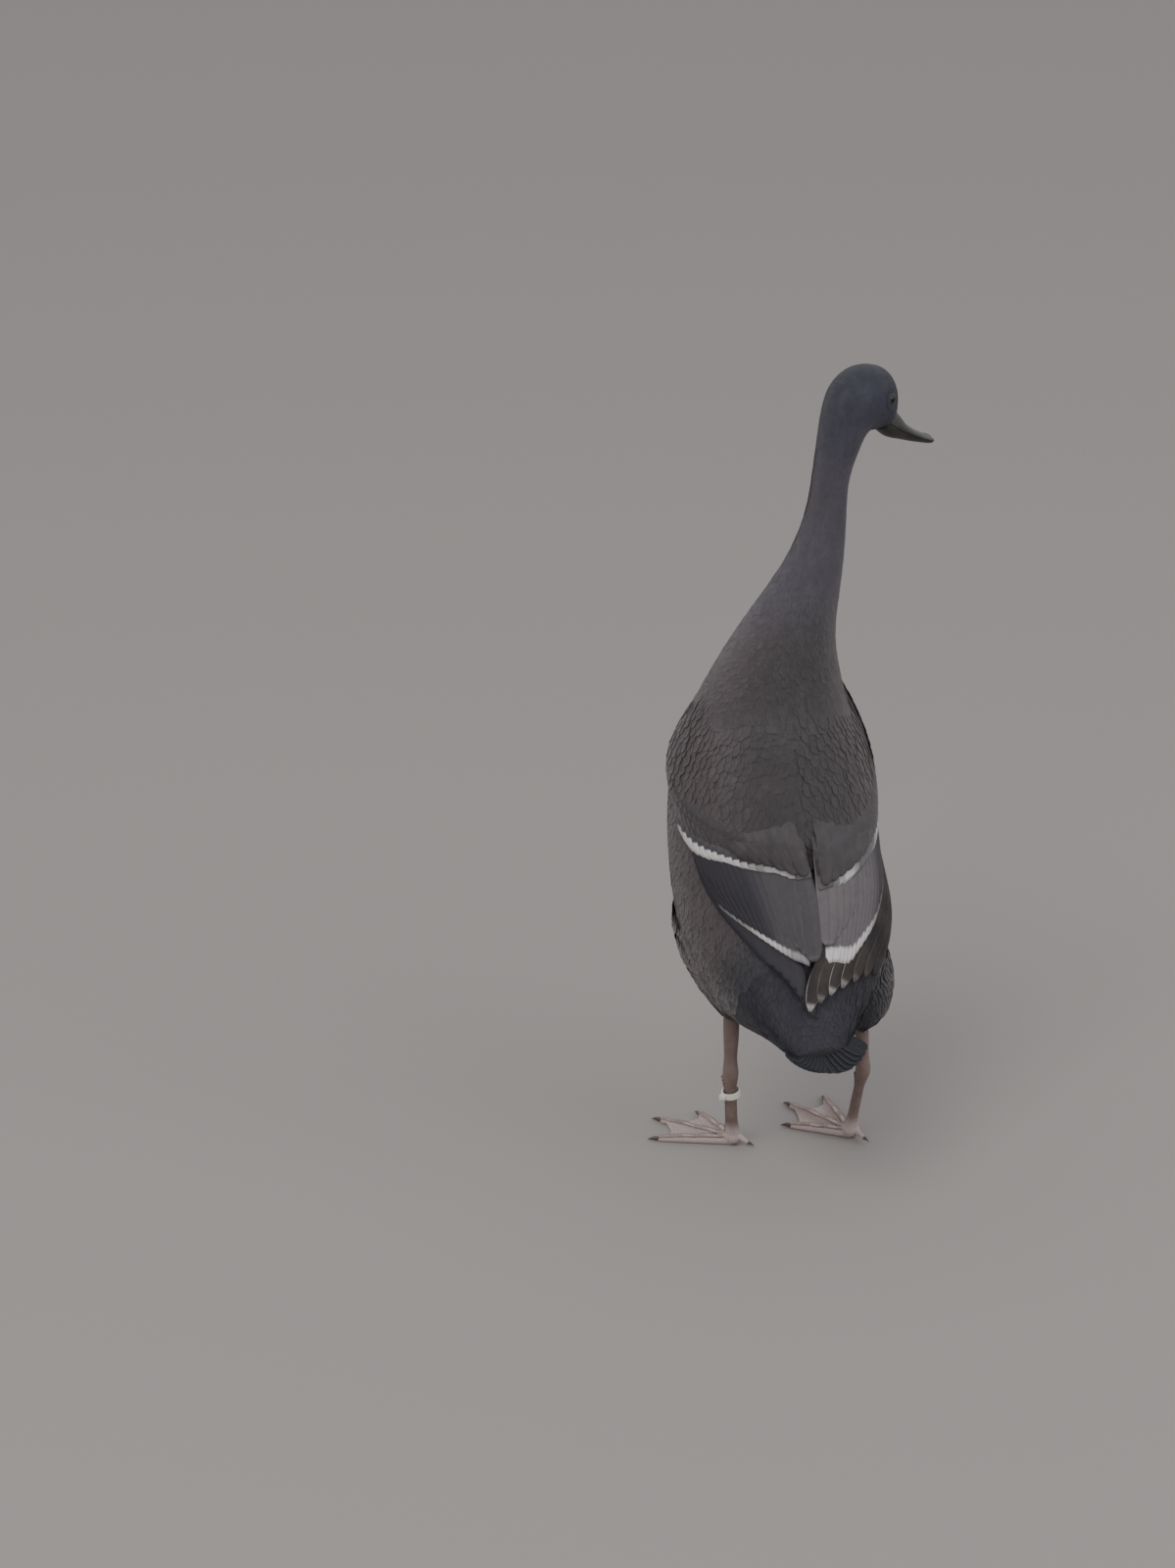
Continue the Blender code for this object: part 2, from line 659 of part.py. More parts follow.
THIGH_ROWS = {
    LEFT: (
        (33, 22, 106, 7, 8),
        (34, 21, 113, 12, 16),
        (37, 18, 124, 17, 26),
        (40, 15, 138, 22, 36),
        (43, 11, 156, 26, 42),
        (43, 7, 178, 28, 42),
        (39, 5, 200, 27, 36),
    ),
    RIGHT: (
        (-57, 44, 94, 7, 8),
        (-60, 41, 102, 14, 17),
        (-60, 34, 116, 22, 31),
        (-58, 26, 135, 27, 39),
        (-53, 18, 155, 28, 42),
        (-45, 10, 180, 29, 42),
        (-38, 6, 204, 27, 36),
    ),
}
SHANK_ROWS = {
    LEFT: (
        (33, 22, 106 - GAP, 5.9, 6.2),
        (34, 24.5, 86, 5.3, 5.6),
        (35, 27, 72, 4.9, 5.3),
        (35.2, 28, 65.5, 5.6, 6.3),
        (35, 27.5, 59.5, 5.3, 5.9),
        (34, 25.8, 52, 4.3, 4.9),
        (32, 22.5, 33, 4.0, 4.6),
        (30.4, 20, 18, 4.4, 4.9),
        (29.6, 18.8, 12 + GAP, 5.2, 5.6),
    ),
    RIGHT: (
        (-57, 44, 94 - GAP, 5.4, 5.8),
        (-57.3, 46.5, 83, 4.6, 5.1),
        (-57.4, 48.5, 71, 4.3, 4.8),
        (-57.2, 49.5, 64.5, 5.2, 6.0),
        (-57, 49, 58.5, 5.0, 5.6),
        (-56.6, 47, 51, 3.8, 4.4),
        (-56, 42, 33, 3.5, 4.1),
        (-55.4, 37.8, 18, 3.9, 4.4),
        (-55.1, 36.2, 12 + GAP, 5.2, 5.6),
    ),
}
for side in (LEFT, RIGHT):
    thigh = level_loft("thigh_" + SIDE_NAMES[side], THIGH_ROWS[side], 20, FLANK_FEATHER)
    combine(thigh, [torso_cutter()], "DIFFERENCE")
    level_loft("shank_" + SIDE_NAMES[side], SHANK_ROWS[side], 10, LEG_SKIN)

# Each foot has three webbed toes flat on the floor and a short hind toe. Headings are measured from
# straight ahead to the bird's left.
ANKLE = {LEFT: (29.3, 18.4), RIGHT: (-55.0, 35.6)}
FOOT_HEADING = {LEFT: math.radians(41), RIGHT: math.radians(26)}
ANKLE_TOP = 12.0
ANKLE_RADII = (6.4, 6.4, 6.2)
TOES = (("outer", 27, 54), ("middle", 0, 60), ("inner", -29, 45))
TOE_RADII = ((0.0, 4.4), (0.2, 3.5), (0.38, 3.7), (0.5, 3.1), (0.66, 3.3), (0.8, 2.7), (1.0, 2.3))
TOE_SINK = 0.75
HIND_TOE_LENGTH = 13.0
WEB_REACH = 0.93
WEB_DIP = 0.12
WEB_TOP = ((0.12, 3.8), (0.45, 2.9), (0.8, 2.3), (1.0, 2.0))
WEB_BOTTOM = 0.7


def direction(heading):
    return np.array((math.sin(heading), -math.cos(heading), 0.0))


def toe_headings(side):
    return [(name, FOOT_HEADING[side] + side * math.radians(splay), length) for name, splay, length in TOES]


def toe(side, heading, length):
    """A toe with knuckles and a flat sole at the floor."""
    ahead = direction(heading)
    across = np.cross(UP, ahead)
    start = np.array((*ANKLE[side], 0.0))
    rings = []
    for t, radius in TOE_RADII:
        middle = start + ahead * length * t + UP * radius * TOE_SINK
        ring = circle(middle, across, UP, radius, 10)
        rings.append([np.maximum(p, (p[0], p[1], 0.0)) for p in ring])
    return loft("toe", rings, LEG_SKIN)


def web(side):
    """A thin sheet between the toes, scalloped at its front edge."""
    headings = toe_headings(side)
    start = np.array((*ANKLE[side], 0.0))
    spokes = []
    for first, second, steps in ((0, 1, 5), (1, 2, 6)):
        for t in np.arange(steps) / 5:
            heading = headings[first][1] * (1 - t) + headings[second][1] * t
            length = headings[first][2] * (1 - t) + headings[second][2] * t
            spokes.append((heading, length * (WEB_REACH - WEB_DIP * math.sin(math.pi * t))))
    points = []
    for heading, reach in spokes:
        for height in (None, WEB_BOTTOM):
            for t, top in WEB_TOP:
                points.append(start + direction(heading) * reach * t + UP * (height or top))
    count = len(WEB_TOP)
    wide = 2 * count
    faces = []
    for i in range(len(spokes) - 1):
        a, b = i * wide, (i + 1) * wide
        for j in range(count - 1):
            faces.append((a + j, a + j + 1, b + j + 1, b + j))
            faces.append((a + count + j, b + count + j, b + count + j + 1, a + count + j + 1))
        faces.append((a, b, b + count, a + count))
        faces.append((a + count - 1, a + wide - 1, b + wide - 1, b + count - 1))
    for a in (0, (len(spokes) - 1) * wide):
        for j in range(count - 1):
            faces.append((a + j, a + j + 1, a + count + j + 1, a + count + j))
    return mesh_object("web", points, faces, LEG_SKIN)


def hind_toe(side):
    back = -direction(FOOT_HEADING[side])
    across = np.cross(UP, back)
    start = np.array((*ANKLE[side], 0.0))
    rings = []
    for t, radius, height in ((0.0, 2.6, 8.5), (0.5, 2.3, 7.0), (1.0, 1.7, 4.4)):
        rings.append(circle(start + back * HIND_TOE_LENGTH * t + UP * height, across, UP, radius, 8))
    return loft("hind_toe", rings, LEG_SKIN)


def claw(name, start, ahead, radius, length, drop):
    """A short curved horn that begins a gap beyond the toe."""
    across = np.cross(UP, ahead)
    rings = []
    for t, size in ((0.0, 1.0), (0.4, 0.75), (0.75, 0.45), (1.0, 0.15)):
        middle = start + ahead * (GAP + length * t) - UP * drop * t * t
        rings.append(circle(middle, across, UP, radius * size, 8))
    return loft(name, rings, CLAW_HORN)


for side in (LEFT, RIGHT):
    headings = toe_headings(side)
    foot = ellipsoid(
        "foot_" + SIDE_NAMES[side], (*ANKLE[side], ANKLE_RADII[2] + 0.2), np.eye(3), ANKLE_RADII, LEG_SKIN)
    pieces = [toe(side, heading, length) for name, heading, length in headings]
    combine(foot, pieces + [web(side), hind_toe(side)], "UNION")
    above = [(*ANKLE[side], z, 15, 15) for z in (ANKLE_TOP, ANKLE_TOP + 10)]
    combine(foot, [level_loft("above", above, 8, LEG_SKIN)], "DIFFERENCE")
    for name, heading, length in headings:
        start = np.array((*ANKLE[side], 1.9)) + direction(heading) * length
        claw("claw_" + name + "_" + SIDE_NAMES[side], start, direction(heading), 1.7, 7.0, 1.2)
    back = -direction(FOOT_HEADING[side])
    start = np.array((*ANKLE[side], 4.2)) + back * HIND_TOE_LENGTH
    claw("claw_hind_" + SIDE_NAMES[side], start, back, 1.3, 4.5, 1.6)

# A loose plastic band with a small tab hangs on the left shank, tilted.
BAND_BELOW = 0.35
BAND_INNER = 5.6
BAND_OUTER = 6.8
BAND_HEIGHT = 5.0
BAND_TILT = math.radians(10)
TAB_RADII = (2.6, 2.8, 3.0)
TAB_TURN = math.radians(18)
TAB_OUT = 1.2

upper_row, lower_row = np.array(SHANK_ROWS[LEFT][5:7])
band_centre = (upper_row * (1 - BAND_BELOW) + lower_row * BAND_BELOW)[:3]
band_up = np.array((math.sin(BAND_TILT), 0.0, math.cos(BAND_TILT)))
band_side = np.array((math.cos(BAND_TILT), 0.0, -math.sin(BAND_TILT)))
band_back = np.cross(band_up, band_side)
rings = []
for turn in turns(20):
    spoke = band_side * math.cos(turn) + band_back * math.sin(turn)
    rings.append([
        band_centre + spoke * radius + band_up * BAND_HEIGHT * rise
        for radius, rise in ((BAND_INNER, -0.5), (BAND_OUTER, -0.5), (BAND_OUTER, 0.5), (BAND_INNER, 0.5))
    ])
band = hoop("leg_band", rings, BAND_PLASTIC)
tab_way = band_side * math.cos(TAB_TURN) + band_back * math.sin(TAB_TURN)
tab_centre = band_centre + tab_way * (BAND_OUTER + TAB_OUT)
tab = ellipsoid("tab", tab_centre, (band_side, band_back, band_up), TAB_RADII, BAND_PLASTIC, 8, 6)
combine(band, [tab], "UNION")

for made in bpy.data.objects:
    made.data.shade_smooth()
    made.data.set_sharp_from_angle(angle=math.radians(40))
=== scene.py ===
"""The look of a standing runner duck: skin, coat, wings, tail, eyes, bill, legs and band.

Lengths are in millimetres until a mesh is made. The bird faces -Y, its left is at +X and the floor is z = 0.
"""

import math

import bmesh
import bpy
import numpy as np
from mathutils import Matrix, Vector
from mathutils.bvhtree import BVHTree

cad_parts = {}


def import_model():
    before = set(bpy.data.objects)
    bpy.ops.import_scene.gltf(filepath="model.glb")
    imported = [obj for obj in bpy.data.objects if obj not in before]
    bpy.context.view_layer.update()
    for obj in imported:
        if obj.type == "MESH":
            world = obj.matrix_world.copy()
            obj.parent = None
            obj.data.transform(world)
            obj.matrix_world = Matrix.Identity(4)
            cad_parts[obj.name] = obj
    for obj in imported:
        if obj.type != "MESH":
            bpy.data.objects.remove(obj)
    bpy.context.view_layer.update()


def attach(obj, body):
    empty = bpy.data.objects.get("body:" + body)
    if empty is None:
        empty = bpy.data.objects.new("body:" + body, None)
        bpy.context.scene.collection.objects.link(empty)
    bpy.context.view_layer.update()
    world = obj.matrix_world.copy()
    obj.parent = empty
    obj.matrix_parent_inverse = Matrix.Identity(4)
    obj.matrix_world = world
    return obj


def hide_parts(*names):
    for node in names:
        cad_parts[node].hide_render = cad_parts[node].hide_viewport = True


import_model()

# The skin is one surface from the tail to the bill, over the breast muscles, the folded arms of the wings
# and the thighs. It is thin and covered in dark down, and lies under the feathers by the depth of the coat.
MM = 0.001
PLACE = np.array((-22.0415, 34.0041, 0.0))
LEFT, RIGHT = 1, -1
SIDES = {LEFT: "left", RIGHT: "right"}
UP = np.array((0.0, 0.0, 1.0))
HEAD_YAW = math.radians(63)
HEAD_LEAN = -41.0
# Back point and front point (forward, up), half width, lean to the left, and share of the head's turn.
TRUNK = (
    ((-124, 126), (-119, 115), 20, 4, 0.0),
    ((-106, 155), (-88, 113), 38, 1, 0.0),
    ((-94, 187), (-50, 103), 56, -3, 0.0),
    ((-83, 221), (-6, 107), 70, -4, 0.0),
    ((-71, 255), (32, 145), 73.5, -0.5, 0.0),
    ((-59, 291), (56, 203), 71.5, 1.5, 0.0),
    ((-48, 327), (64, 259), 65.5, 1.5, 0.0),
    ((-38, 359), (62, 311), 53, -2, 0.0),
    ((-29, 389), (50, 357), 39.5, -9, 0.0),
    ((-22, 417), (34, 397), 29.7, -20, 0.0),
    ((-16, 445), (21, 431), 20.7, -30.4, 0.1),
    ((-13, 475), (13, 466), 14.5, -37, 0.4),
    ((-12, 503), (14, 494), 13.5, -40, 0.8),
    ((-9, 526), (20, 511), 15.5, HEAD_LEAN, 1.0),
    ((-3, 546), (24, 518), 17.5, HEAD_LEAN, 1.0),
    ((8, 561), (27, 520), 19.5, HEAD_LEAN, 1.0),
    ((22, 567), (30, 520.5), 20, HEAD_LEAN, 1.0),
    ((36, 566), (35, 519), 20, HEAD_LEAN, 1.0),
    ((48, 560.5), (39, 518.5), 18, HEAD_LEAN, 1.0),
    ((55.5, 548), (42, 518), 14, HEAD_LEAN, 1.0),
    ((59, 533.5), (44.5, 517), 10.5, HEAD_LEAN, 1.0),
)


def unit(rows):
    return rows / np.linalg.norm(rows, axis=-1, keepdims=True)


def trunk_row(back, front, half_width, lean, turn):
    turn *= HEAD_YAW
    ahead = np.array((-math.sin(turn), -math.cos(turn), 0.0))
    points = [np.array((lean, 0, 0)) + ahead * forward + UP * height for forward, height in (back, front)]
    return np.concatenate([*points, (math.cos(turn), -math.sin(turn), 0.0), (half_width,)])


def bends_through(knots, values):
    """Second derivatives of the natural cubic spline through the values at the knots."""
    step = np.diff(knots)
    system, rise = np.eye(len(knots)), np.zeros_like(values)
    for i in range(1, len(knots) - 1):
        system[i, i - 1 : i + 2] = step[i - 1], 2 * (step[i - 1] + step[i]), step[i]
        rise[i] = 6 * ((values[i + 1] - values[i]) / step[i] - (values[i] - values[i - 1]) / step[i - 1])
    return np.linalg.solve(system, rise)


def read_spline(knots, values, bends, at):
    i = np.clip(np.searchsorted(knots, at) - 1, 0, len(knots) - 2)
    step = knots[i + 1] - knots[i]
    a, b = ((knots[i + 1] - at) / step)[:, None], ((at - knots[i]) / step)[:, None]
    bend = ((a**3 - a) * bends[i] + (b**3 - b) * bends[i + 1]) * step[:, None] ** 2 / 6
    return a * values[i] + b * values[i + 1] + bend


ROWS = np.array([trunk_row(*row) for row in TRUNK])
MIDDLES = (ROWS[:, 0:3] + ROWS[:, 3:6]) / 2
KNOTS = np.concatenate([[0.0], np.cumsum(np.linalg.norm(np.diff(MIDDLES, axis=0), axis=1))])
BENDS = bends_through(KNOTS, ROWS)
NECK_BASE, UPPER_NECK, BILL_BASE = KNOTS[9], KNOTS[12], KNOTS[-1]


def trunk_cut(along):
    """Centre of the trunk's sections, and the directions to their back and their left at half size."""
    rows = read_spline(KNOTS, ROWS, BENDS, along)
    back, front = rows[:, 0:3], rows[:, 3:6]
    return (back + front) / 2, (back - front) / 2, unit(rows[:, 6:9]) * rows[:, 9:10]


def trunk_point(along, around):
    centre, deep, wide = trunk_cut(along)
    return centre + deep * np.cos(around)[:, None] + wide * np.sin(around)[:, None]


def trunk_frame(along, around):
    """Points on the trunk, their outward normals, and their travel with along and with around."""
    here = trunk_point(along, around)
    ahead = (trunk_point(along + 0.5, around) - here) / 0.5
    beside = (trunk_point(along, around + 0.01) - here) / 0.01
    return here, unit(np.cross(ahead, beside)), ahead, beside


def feather_step(along):
    """How far apart the rows of small feathers are."""
    return np.interp(
        along,
        (0, 28, 90, 180, 250, 311, 347, 400, 440, 480, 510, 532),
        (3.0, 3.6, 4.0, 4.1, 3.8, 3.2, 2.7, 2.2, 1.9, 1.6, 1.35, 1.05))


def coat_depth(along):
    return 0.2 * feather_step(along) + 0.25


PAD_INNER, PAD_OUTER, PAD_BEND, PAD_SLOPE = 0.8, 104.0, 68.0, 1.5
PAD_TOP, PAD_EDGE = 8.0, 1.4
COVERT_SHOW = 24.0


def covert_edge(around):
    """Where the tips of the greater coverts lie, at so many degrees from the ridge of the back."""
    return 104 + 0.0155 * np.asarray(around, float) ** 2


def trailing_edge(around):
    return 47 + 0.0215 * np.asarray(around, float) ** 2


def pad_low(around):
    around = np.asarray(around, float)
    past = np.maximum(around - PAD_BEND, 0) * PAD_SLOPE
    return covert_edge(np.minimum(around, PAD_BEND)) + COVERT_SHOW + past


def pad_high(around):
    return 256 + 26 * np.exp(-(((np.asarray(around, float) - 92) / 24) ** 2))


def pad_lift(along, around):
    """How far the folded wing's arm stands out from the trunk. The left wrist stands out a little more."""
    wrist = 3.2 * np.exp(-(((around - 92) / 26) ** 2) - ((along - 200) / 52) ** 2)
    around = np.abs(around)
    across = (around - PAD_INNER) / (PAD_OUTER - PAD_INNER)
    up = (along - pad_low(around)) / (pad_high(around) - pad_low(around))
    inside = (across >= 0) & (across <= 1) & (up >= 0) & (up <= 1)
    across, up = np.clip(across, 0, 1), np.clip(up, 0, 1)
    fade = (1 - up**3) * (1 - across**10) * (1 - 0.5 * (1 - across) ** 8) * (1 - 0.35 * up)
    lift = PAD_EDGE * (1 - up**6) + (PAD_TOP - PAD_EDGE) * fade + wrist * (1 - up**4)
    return np.where(inside, lift, 0.0)


THIGHS = {
    LEFT: np.array((
        (33, 22, 106, 7, 8), (34, 21, 113, 12, 16), (37, 18, 124, 17, 26), (40, 15, 138, 22, 36),
        (43, 11, 156, 26, 42), (43, 7, 178, 28, 42), (39, 5, 200, 27, 36))),
    RIGHT: np.array((
        (-57, 44, 94, 7, 8), (-60, 41, 102, 14, 17), (-60, 34, 116, 22, 31), (-58, 26, 135, 27, 39),
        (-53, 18, 155, 28, 42), (-45, 10, 180, 29, 42), (-38, 6, 204, 27, 36))),
}


def thigh_point(side, height, turn, inset=0.0):
    rows = THIGHS[side]
    x, y, half_x, half_y = (np.interp(height, rows[:, 2], rows[:, i]) for i in (0, 1, 3, 4))
    return np.stack([x + (half_x - inset) * np.cos(turn), y + (half_y - inset) * np.sin(turn), height],
                    axis=-1)


def round_turn(count):
    """Equal steps of a full turn."""
    return np.linspace(0, 2 * math.pi, count + 1)[:-1]


def world(points):
    """Millimetres of the bird's own frame in metres of the model's."""
    return (np.asarray(points, float) - PLACE) * MM


def linked(name, data):
    made = bpy.data.objects.new(name, data)
    bpy.context.scene.collection.objects.link(made)
    return made


def solid(name, points, faces):
    mesh = bpy.data.meshes.new(name)
    mesh.from_pydata(world(points).tolist(), [], faces)
    shape = bmesh.new()
    shape.from_mesh(mesh)
    bmesh.ops.recalc_face_normals(shape, faces=shape.faces)
    shape.to_mesh(mesh)
    shape.free()
    return linked(name, mesh)


def tube(name, rings, ends=True):
    """Closed rings of equal count joined in order, with flat ends, or with the last joined to the first."""
    rings = np.asarray(rings, float)
    rows, count = rings.shape[:2]
    faces = []
    for i in range(rows - 1 if ends else rows):
        for j in range(count):
            k, n = (j + 1) % count, (i + 1) % rows
            faces.append((i * count + j, i * count + k, n * count + k, n * count + j))
    if ends:
        faces += [tuple(range(count)), tuple((rows - 1) * count + j for j in range(count))]
    return solid(name, rings.reshape(-1, 3), faces)


def shell_faces(rows, count, base=0):
    """Faces of two grids of points, the second after the first from base on, joined round their edges."""
    half, faces = rows * count, []
    for i in range(rows - 1):
        for j in range(count - 1):
            a = base + i * count + j
            faces.append((a, a + count, a + count + 1, a + 1))
            faces.append((half + a, half + a + 1, half + a + count + 1, half + a + count))
        for a in (base + i * count, base + i * count + count - 1):
            faces.append((a, half + a, half + a + count, a + count))
    for j in range(count - 1):
        for a in (base + j, base + (rows - 1) * count + j):
            faces.append((a, a + 1, half + a + 1, half + a))
    return faces


def sheet(name, top, bottom):
    faces = shell_faces(*top.shape[:2])
    return solid(name, np.concatenate([top.reshape(-1, 3), bottom.reshape(-1, 3)]), faces)


def applied(made):
    """The object's modifiers become its mesh."""
    graph = bpy.context.evaluated_depsgraph_get()
    mesh = bpy.data.meshes.new_from_object(
        made.evaluated_get(graph), preserve_all_data_layers=True, depsgraph=graph)
    made.modifiers.clear()
    made.data = mesh
    return made


def fused(name, parts, grain, rounds):
    """One surface round several closed ones, on a grid of that grain, evened by rounds of smoothing."""
    shape = bmesh.new()
    for part in parts:
        shape.from_mesh(part.data)
        bpy.data.objects.remove(part)
    mesh = bpy.data.meshes.new(name)
    shape.to_mesh(mesh)
    shape.free()
    made = linked(name, mesh)
    remesh = made.modifiers.new("fuse", "REMESH")
    remesh.mode = "VOXEL"
    remesh.voxel_size = grain * MM
    even = made.modifiers.new("even", "SMOOTH")
    even.factor = 0.5
    even.iterations = rounds
    return applied(made)


def settle(made, finish, slot, *nodes):
    """Give a piece its finish and its place in the model, and hide the plain solids that it stands for."""
    made.data.materials.clear()
    made.data.materials.append(finish.material)
    made.data.shade_smooth()
    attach(made, "root")
    if nodes:
        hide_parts(*nodes)


full_turn = round_turn(64)
flesh = []
rings = []
for at in np.linspace(0, BILL_BASE, 210):
    here, outward = trunk_frame(np.full(64, at), full_turn)[:2]
    rings.append(here - outward * coat_depth(at))
flesh.append(tube("trunk", rings))
for side in SIDES:
    across, up = np.meshgrid(np.linspace(0, 1, 40), np.linspace(0, 1, 30), indexing="ij")
    around = PAD_INNER + (PAD_OUTER - PAD_INNER) * across
    along = pad_low(around) + (pad_high(around) - pad_low(around)) * up
    here, outward = trunk_frame(along.ravel(), side * np.radians(around.ravel()))[:2]
    lift = pad_lift(along, around).ravel() - coat_depth(along.ravel())
    top = (here + outward * lift[:, None]).reshape(*along.shape, 3)
    flesh.append(sheet("arm", top, (here - outward * 7).reshape(*along.shape, 3)))
    heights = np.linspace(THIGHS[side][0, 2], THIGHS[side][-1, 2], 40)
    flesh.append(tube("thigh", [thigh_point(side, np.full(64, z), full_turn, 1.8) for z in heights]))
skin = fused("skin", flesh, grain=2.1, rounds=7)

# The markings are one set of named tones for the skin's down and for the feathers. Linear colour.
BACK = np.array((0.031, 0.026, 0.029))
SHOULDER = np.array((0.058, 0.046, 0.049))
FLANK = np.array((0.023, 0.017, 0.018))
BREAST = np.array((0.034, 0.026, 0.025))
RUMP = np.array((0.021, 0.021, 0.030))
NECK = np.array((0.064, 0.057, 0.074))
HEAD = np.array((0.041, 0.042, 0.065))
HEAD_GREEN = np.array((0.033, 0.036, 0.046))
CHEEK_VIOLET = np.array((0.031, 0.029, 0.054))


def rise(value, low, high):
    """A smooth step from 0 at low to 1 at high."""
    t = np.clip((value - low) / (high - low), 0, 1)
    return t * t * (3 - 2 * t)


def plumage(along, around):
    """The feathers' colour on the trunk."""
    turn = np.abs((np.degrees(around) + 180) % 360 - 180)
    tone = np.tile(BACK, (len(along), 1))

    def blend(share, other):
        return tone + (other - tone) * share[:, None]

    tone = blend(rise(turn, 18, 62), SHOULDER)
    tone = blend(rise(turn, 82, 112), FLANK)
    tone = blend(rise(turn, 112, 150), BREAST)
    tone = blend(rise(along, 100, 66) * (1 - 0.5 * rise(turn, 100, 150)), RUMP)
    tone = blend(rise(along, 300, 372) * (1 - 0.35 * rise(turn, 100, 160)), NECK)
    tone = blend(rise(along, 425, 505), HEAD)
    tone = blend(rise(along, 448, 480) * rise(turn, 75, 30) * 0.7, HEAD_GREEN)
    return blend(rise(along, 470, 495) * rise(turn, 60, 95) * 0.7, CHEEK_VIOLET)


class Socket:
    """One output of a tree's nodes. Sums written on it add Math nodes."""

    def __init__(self, nodes, plug):
        self.nodes = nodes
        self.plug = plug

    def sum(self, operation, first, second=0.0):
        return self.nodes.make("ShaderNodeMath", {0: first, 1: second}, operation=operation)

    def __add__(self, other):
        return self.sum("ADD", self, other)

    def __radd__(self, other):
        return self.sum("ADD", other, self)

    def __sub__(self, other):
        return self.sum("SUBTRACT", self, other)

    def __rsub__(self, other):
        return self.sum("SUBTRACT", other, self)

    def __mul__(self, other):
        return self.sum("MULTIPLY", self, other)

    def __rmul__(self, other):
        return self.sum("MULTIPLY", other, self)

    def __pow__(self, other):
        return self.sum("POWER", self, other)

    def __abs__(self):
        return self.sum("ABSOLUTE", self)

    def most(self, other):
        return self.sum("MAXIMUM", self, other)

    def sine(self):
        return self.sum("SINE", self)

    def rise(self, low, high):
        """A smooth step from 0 at low to 1 at high."""
        return self.nodes.make(
            "ShaderNodeMapRange", {0: self, 1: low, 2: high}, interpolation_type="SMOOTHSTEP")

    def mix(self, low, high):
        """The colour low where this is 0 and high where it is 1."""
        low, high = ((*tone, 1.0) if isinstance(tone, tuple) else tone for tone in (low, high))
        return self.nodes.make(
            "ShaderNodeMix", {0: self, 6: low, 7: high}, 2, data_type="RGBA")


class Nodes:
    """A node tree; make adds a node, sets it up, links its inputs and gives one of its outputs."""

    def __init__(self, tree):
        self.tree = tree

    def make(self, kind, inputs=(), out=0, **settings):
        node = self.tree.nodes.new(kind)
        for name, value in settings.items():
            setattr(node, name, value)
        for key, value in dict(inputs).items():
            if isinstance(value, Socket):
                self.tree.links.new(value.plug, node.inputs[key])
            else:
                node.inputs[key].default_value = value
        return Socket(self, node.outputs[out])


class Finish(Nodes):
    """A finish named for its surface, with the numbers that are the same all over it."""

    def __init__(self, name, **fixed):
        self.material = bpy.data.materials.new(name)
        self.material.use_nodes = True
        super().__init__(self.material.node_tree)
        self.shader = self.tree.nodes["Principled BSDF"]
        for socket, value in fixed.items():
            self.shader.inputs[socket.replace("_", " ")].default_value = value

    def place(self):
        return self.make("ShaderNodeTexCoord", out="Object")

    def noise(self, scale, detail=3.0):
        inputs = {"Vector": self.place(), "Scale": scale, "Detail": detail, "Roughness": 0.55}
        return self.make("ShaderNodeTexNoise", inputs)

    def tone(self, name, out="Color"):
        return self.make("ShaderNodeAttribute", out=out, attribute_name=name)

    def vane(self):
        """Across a feather, from 0 to 1, and along it from its root."""
        spot = self.make("ShaderNodeUVMap", uv_map="Vane")
        return (self.make("ShaderNodeSeparateXYZ", {0: spot}, i) for i in (0, 1))

    def feed(self, **sockets):
        for socket, value in sockets.items():
            self.tree.links.new(value.plug, self.shader.inputs[socket.replace("_", " ")])

    def bump(self, height, distance, strength=1.0):
        return self.make("ShaderNodeBump",
                         {"Height": height, "Distance": distance * MM, "Strength": strength})


def stored(mesh, label, kind, field, values):
    """Keep one value, direction or colour for each point of a mesh."""
    mesh.attributes.new(label, kind, "POINT").data.foreach_set(field, np.asarray(values).astype("f").ravel())


def tinted(mesh, colours):
    stored(mesh, "tint", "FLOAT_COLOR", "color", np.column_stack([colours, np.ones(len(colours))]))


trunk_along, trunk_around = (g.ravel() for g in np.meshgrid(
    np.linspace(0, BILL_BASE, 150), round_turn(60), indexing="ij"))
trunk_table = world(trunk_point(trunk_along, trunk_around))


def nearest_place(points):
    """Along and around of the nearest of the trunk's tabled points."""
    found = []
    for some in np.array_split(points, max(1, len(points) // 2000)):
        gap = (some**2).sum(1)[:, None] - 2 * some @ trunk_table.T + (trunk_table**2).sum(1)[None]
        found.append(gap.argmin(1))
    found = np.concatenate(found)
    return trunk_along[found], trunk_around[found]


skin_points = np.empty(len(skin.data.vertices) * 3)
skin.data.vertices.foreach_get("co", skin_points)
skin_points = skin_points.reshape(-1, 3)
tinted(skin.data, plumage(*nearest_place(skin_points)) * 0.8)
down = Finish("down", Sheen_Weight=0.2, Sheen_Roughness=0.5)
fuzz = down.noise(900, 4.0)
patchy = down.noise(70).rise(0.3, 0.7)
down.feed(Base_Color=(patchy * 0.3).mix(down.tone("tint"), (0.02, 0.018, 0.018)),
          Roughness=0.6 + fuzz * 0.25, Normal=down.bump(fuzz, 0.5, 0.6))
settle(skin, down, "dark_feather", "torso", "neck_lower", "neck_upper", "head", "thigh_left", "thigh_right")

# The coat is thousands of small feathers that lie towards the tail like tiles, smallest on the face and
# largest on the shoulders. Each is a thin convex vane on a shaft, rooted in the skin under the last row.
dice = np.random.default_rng(11)


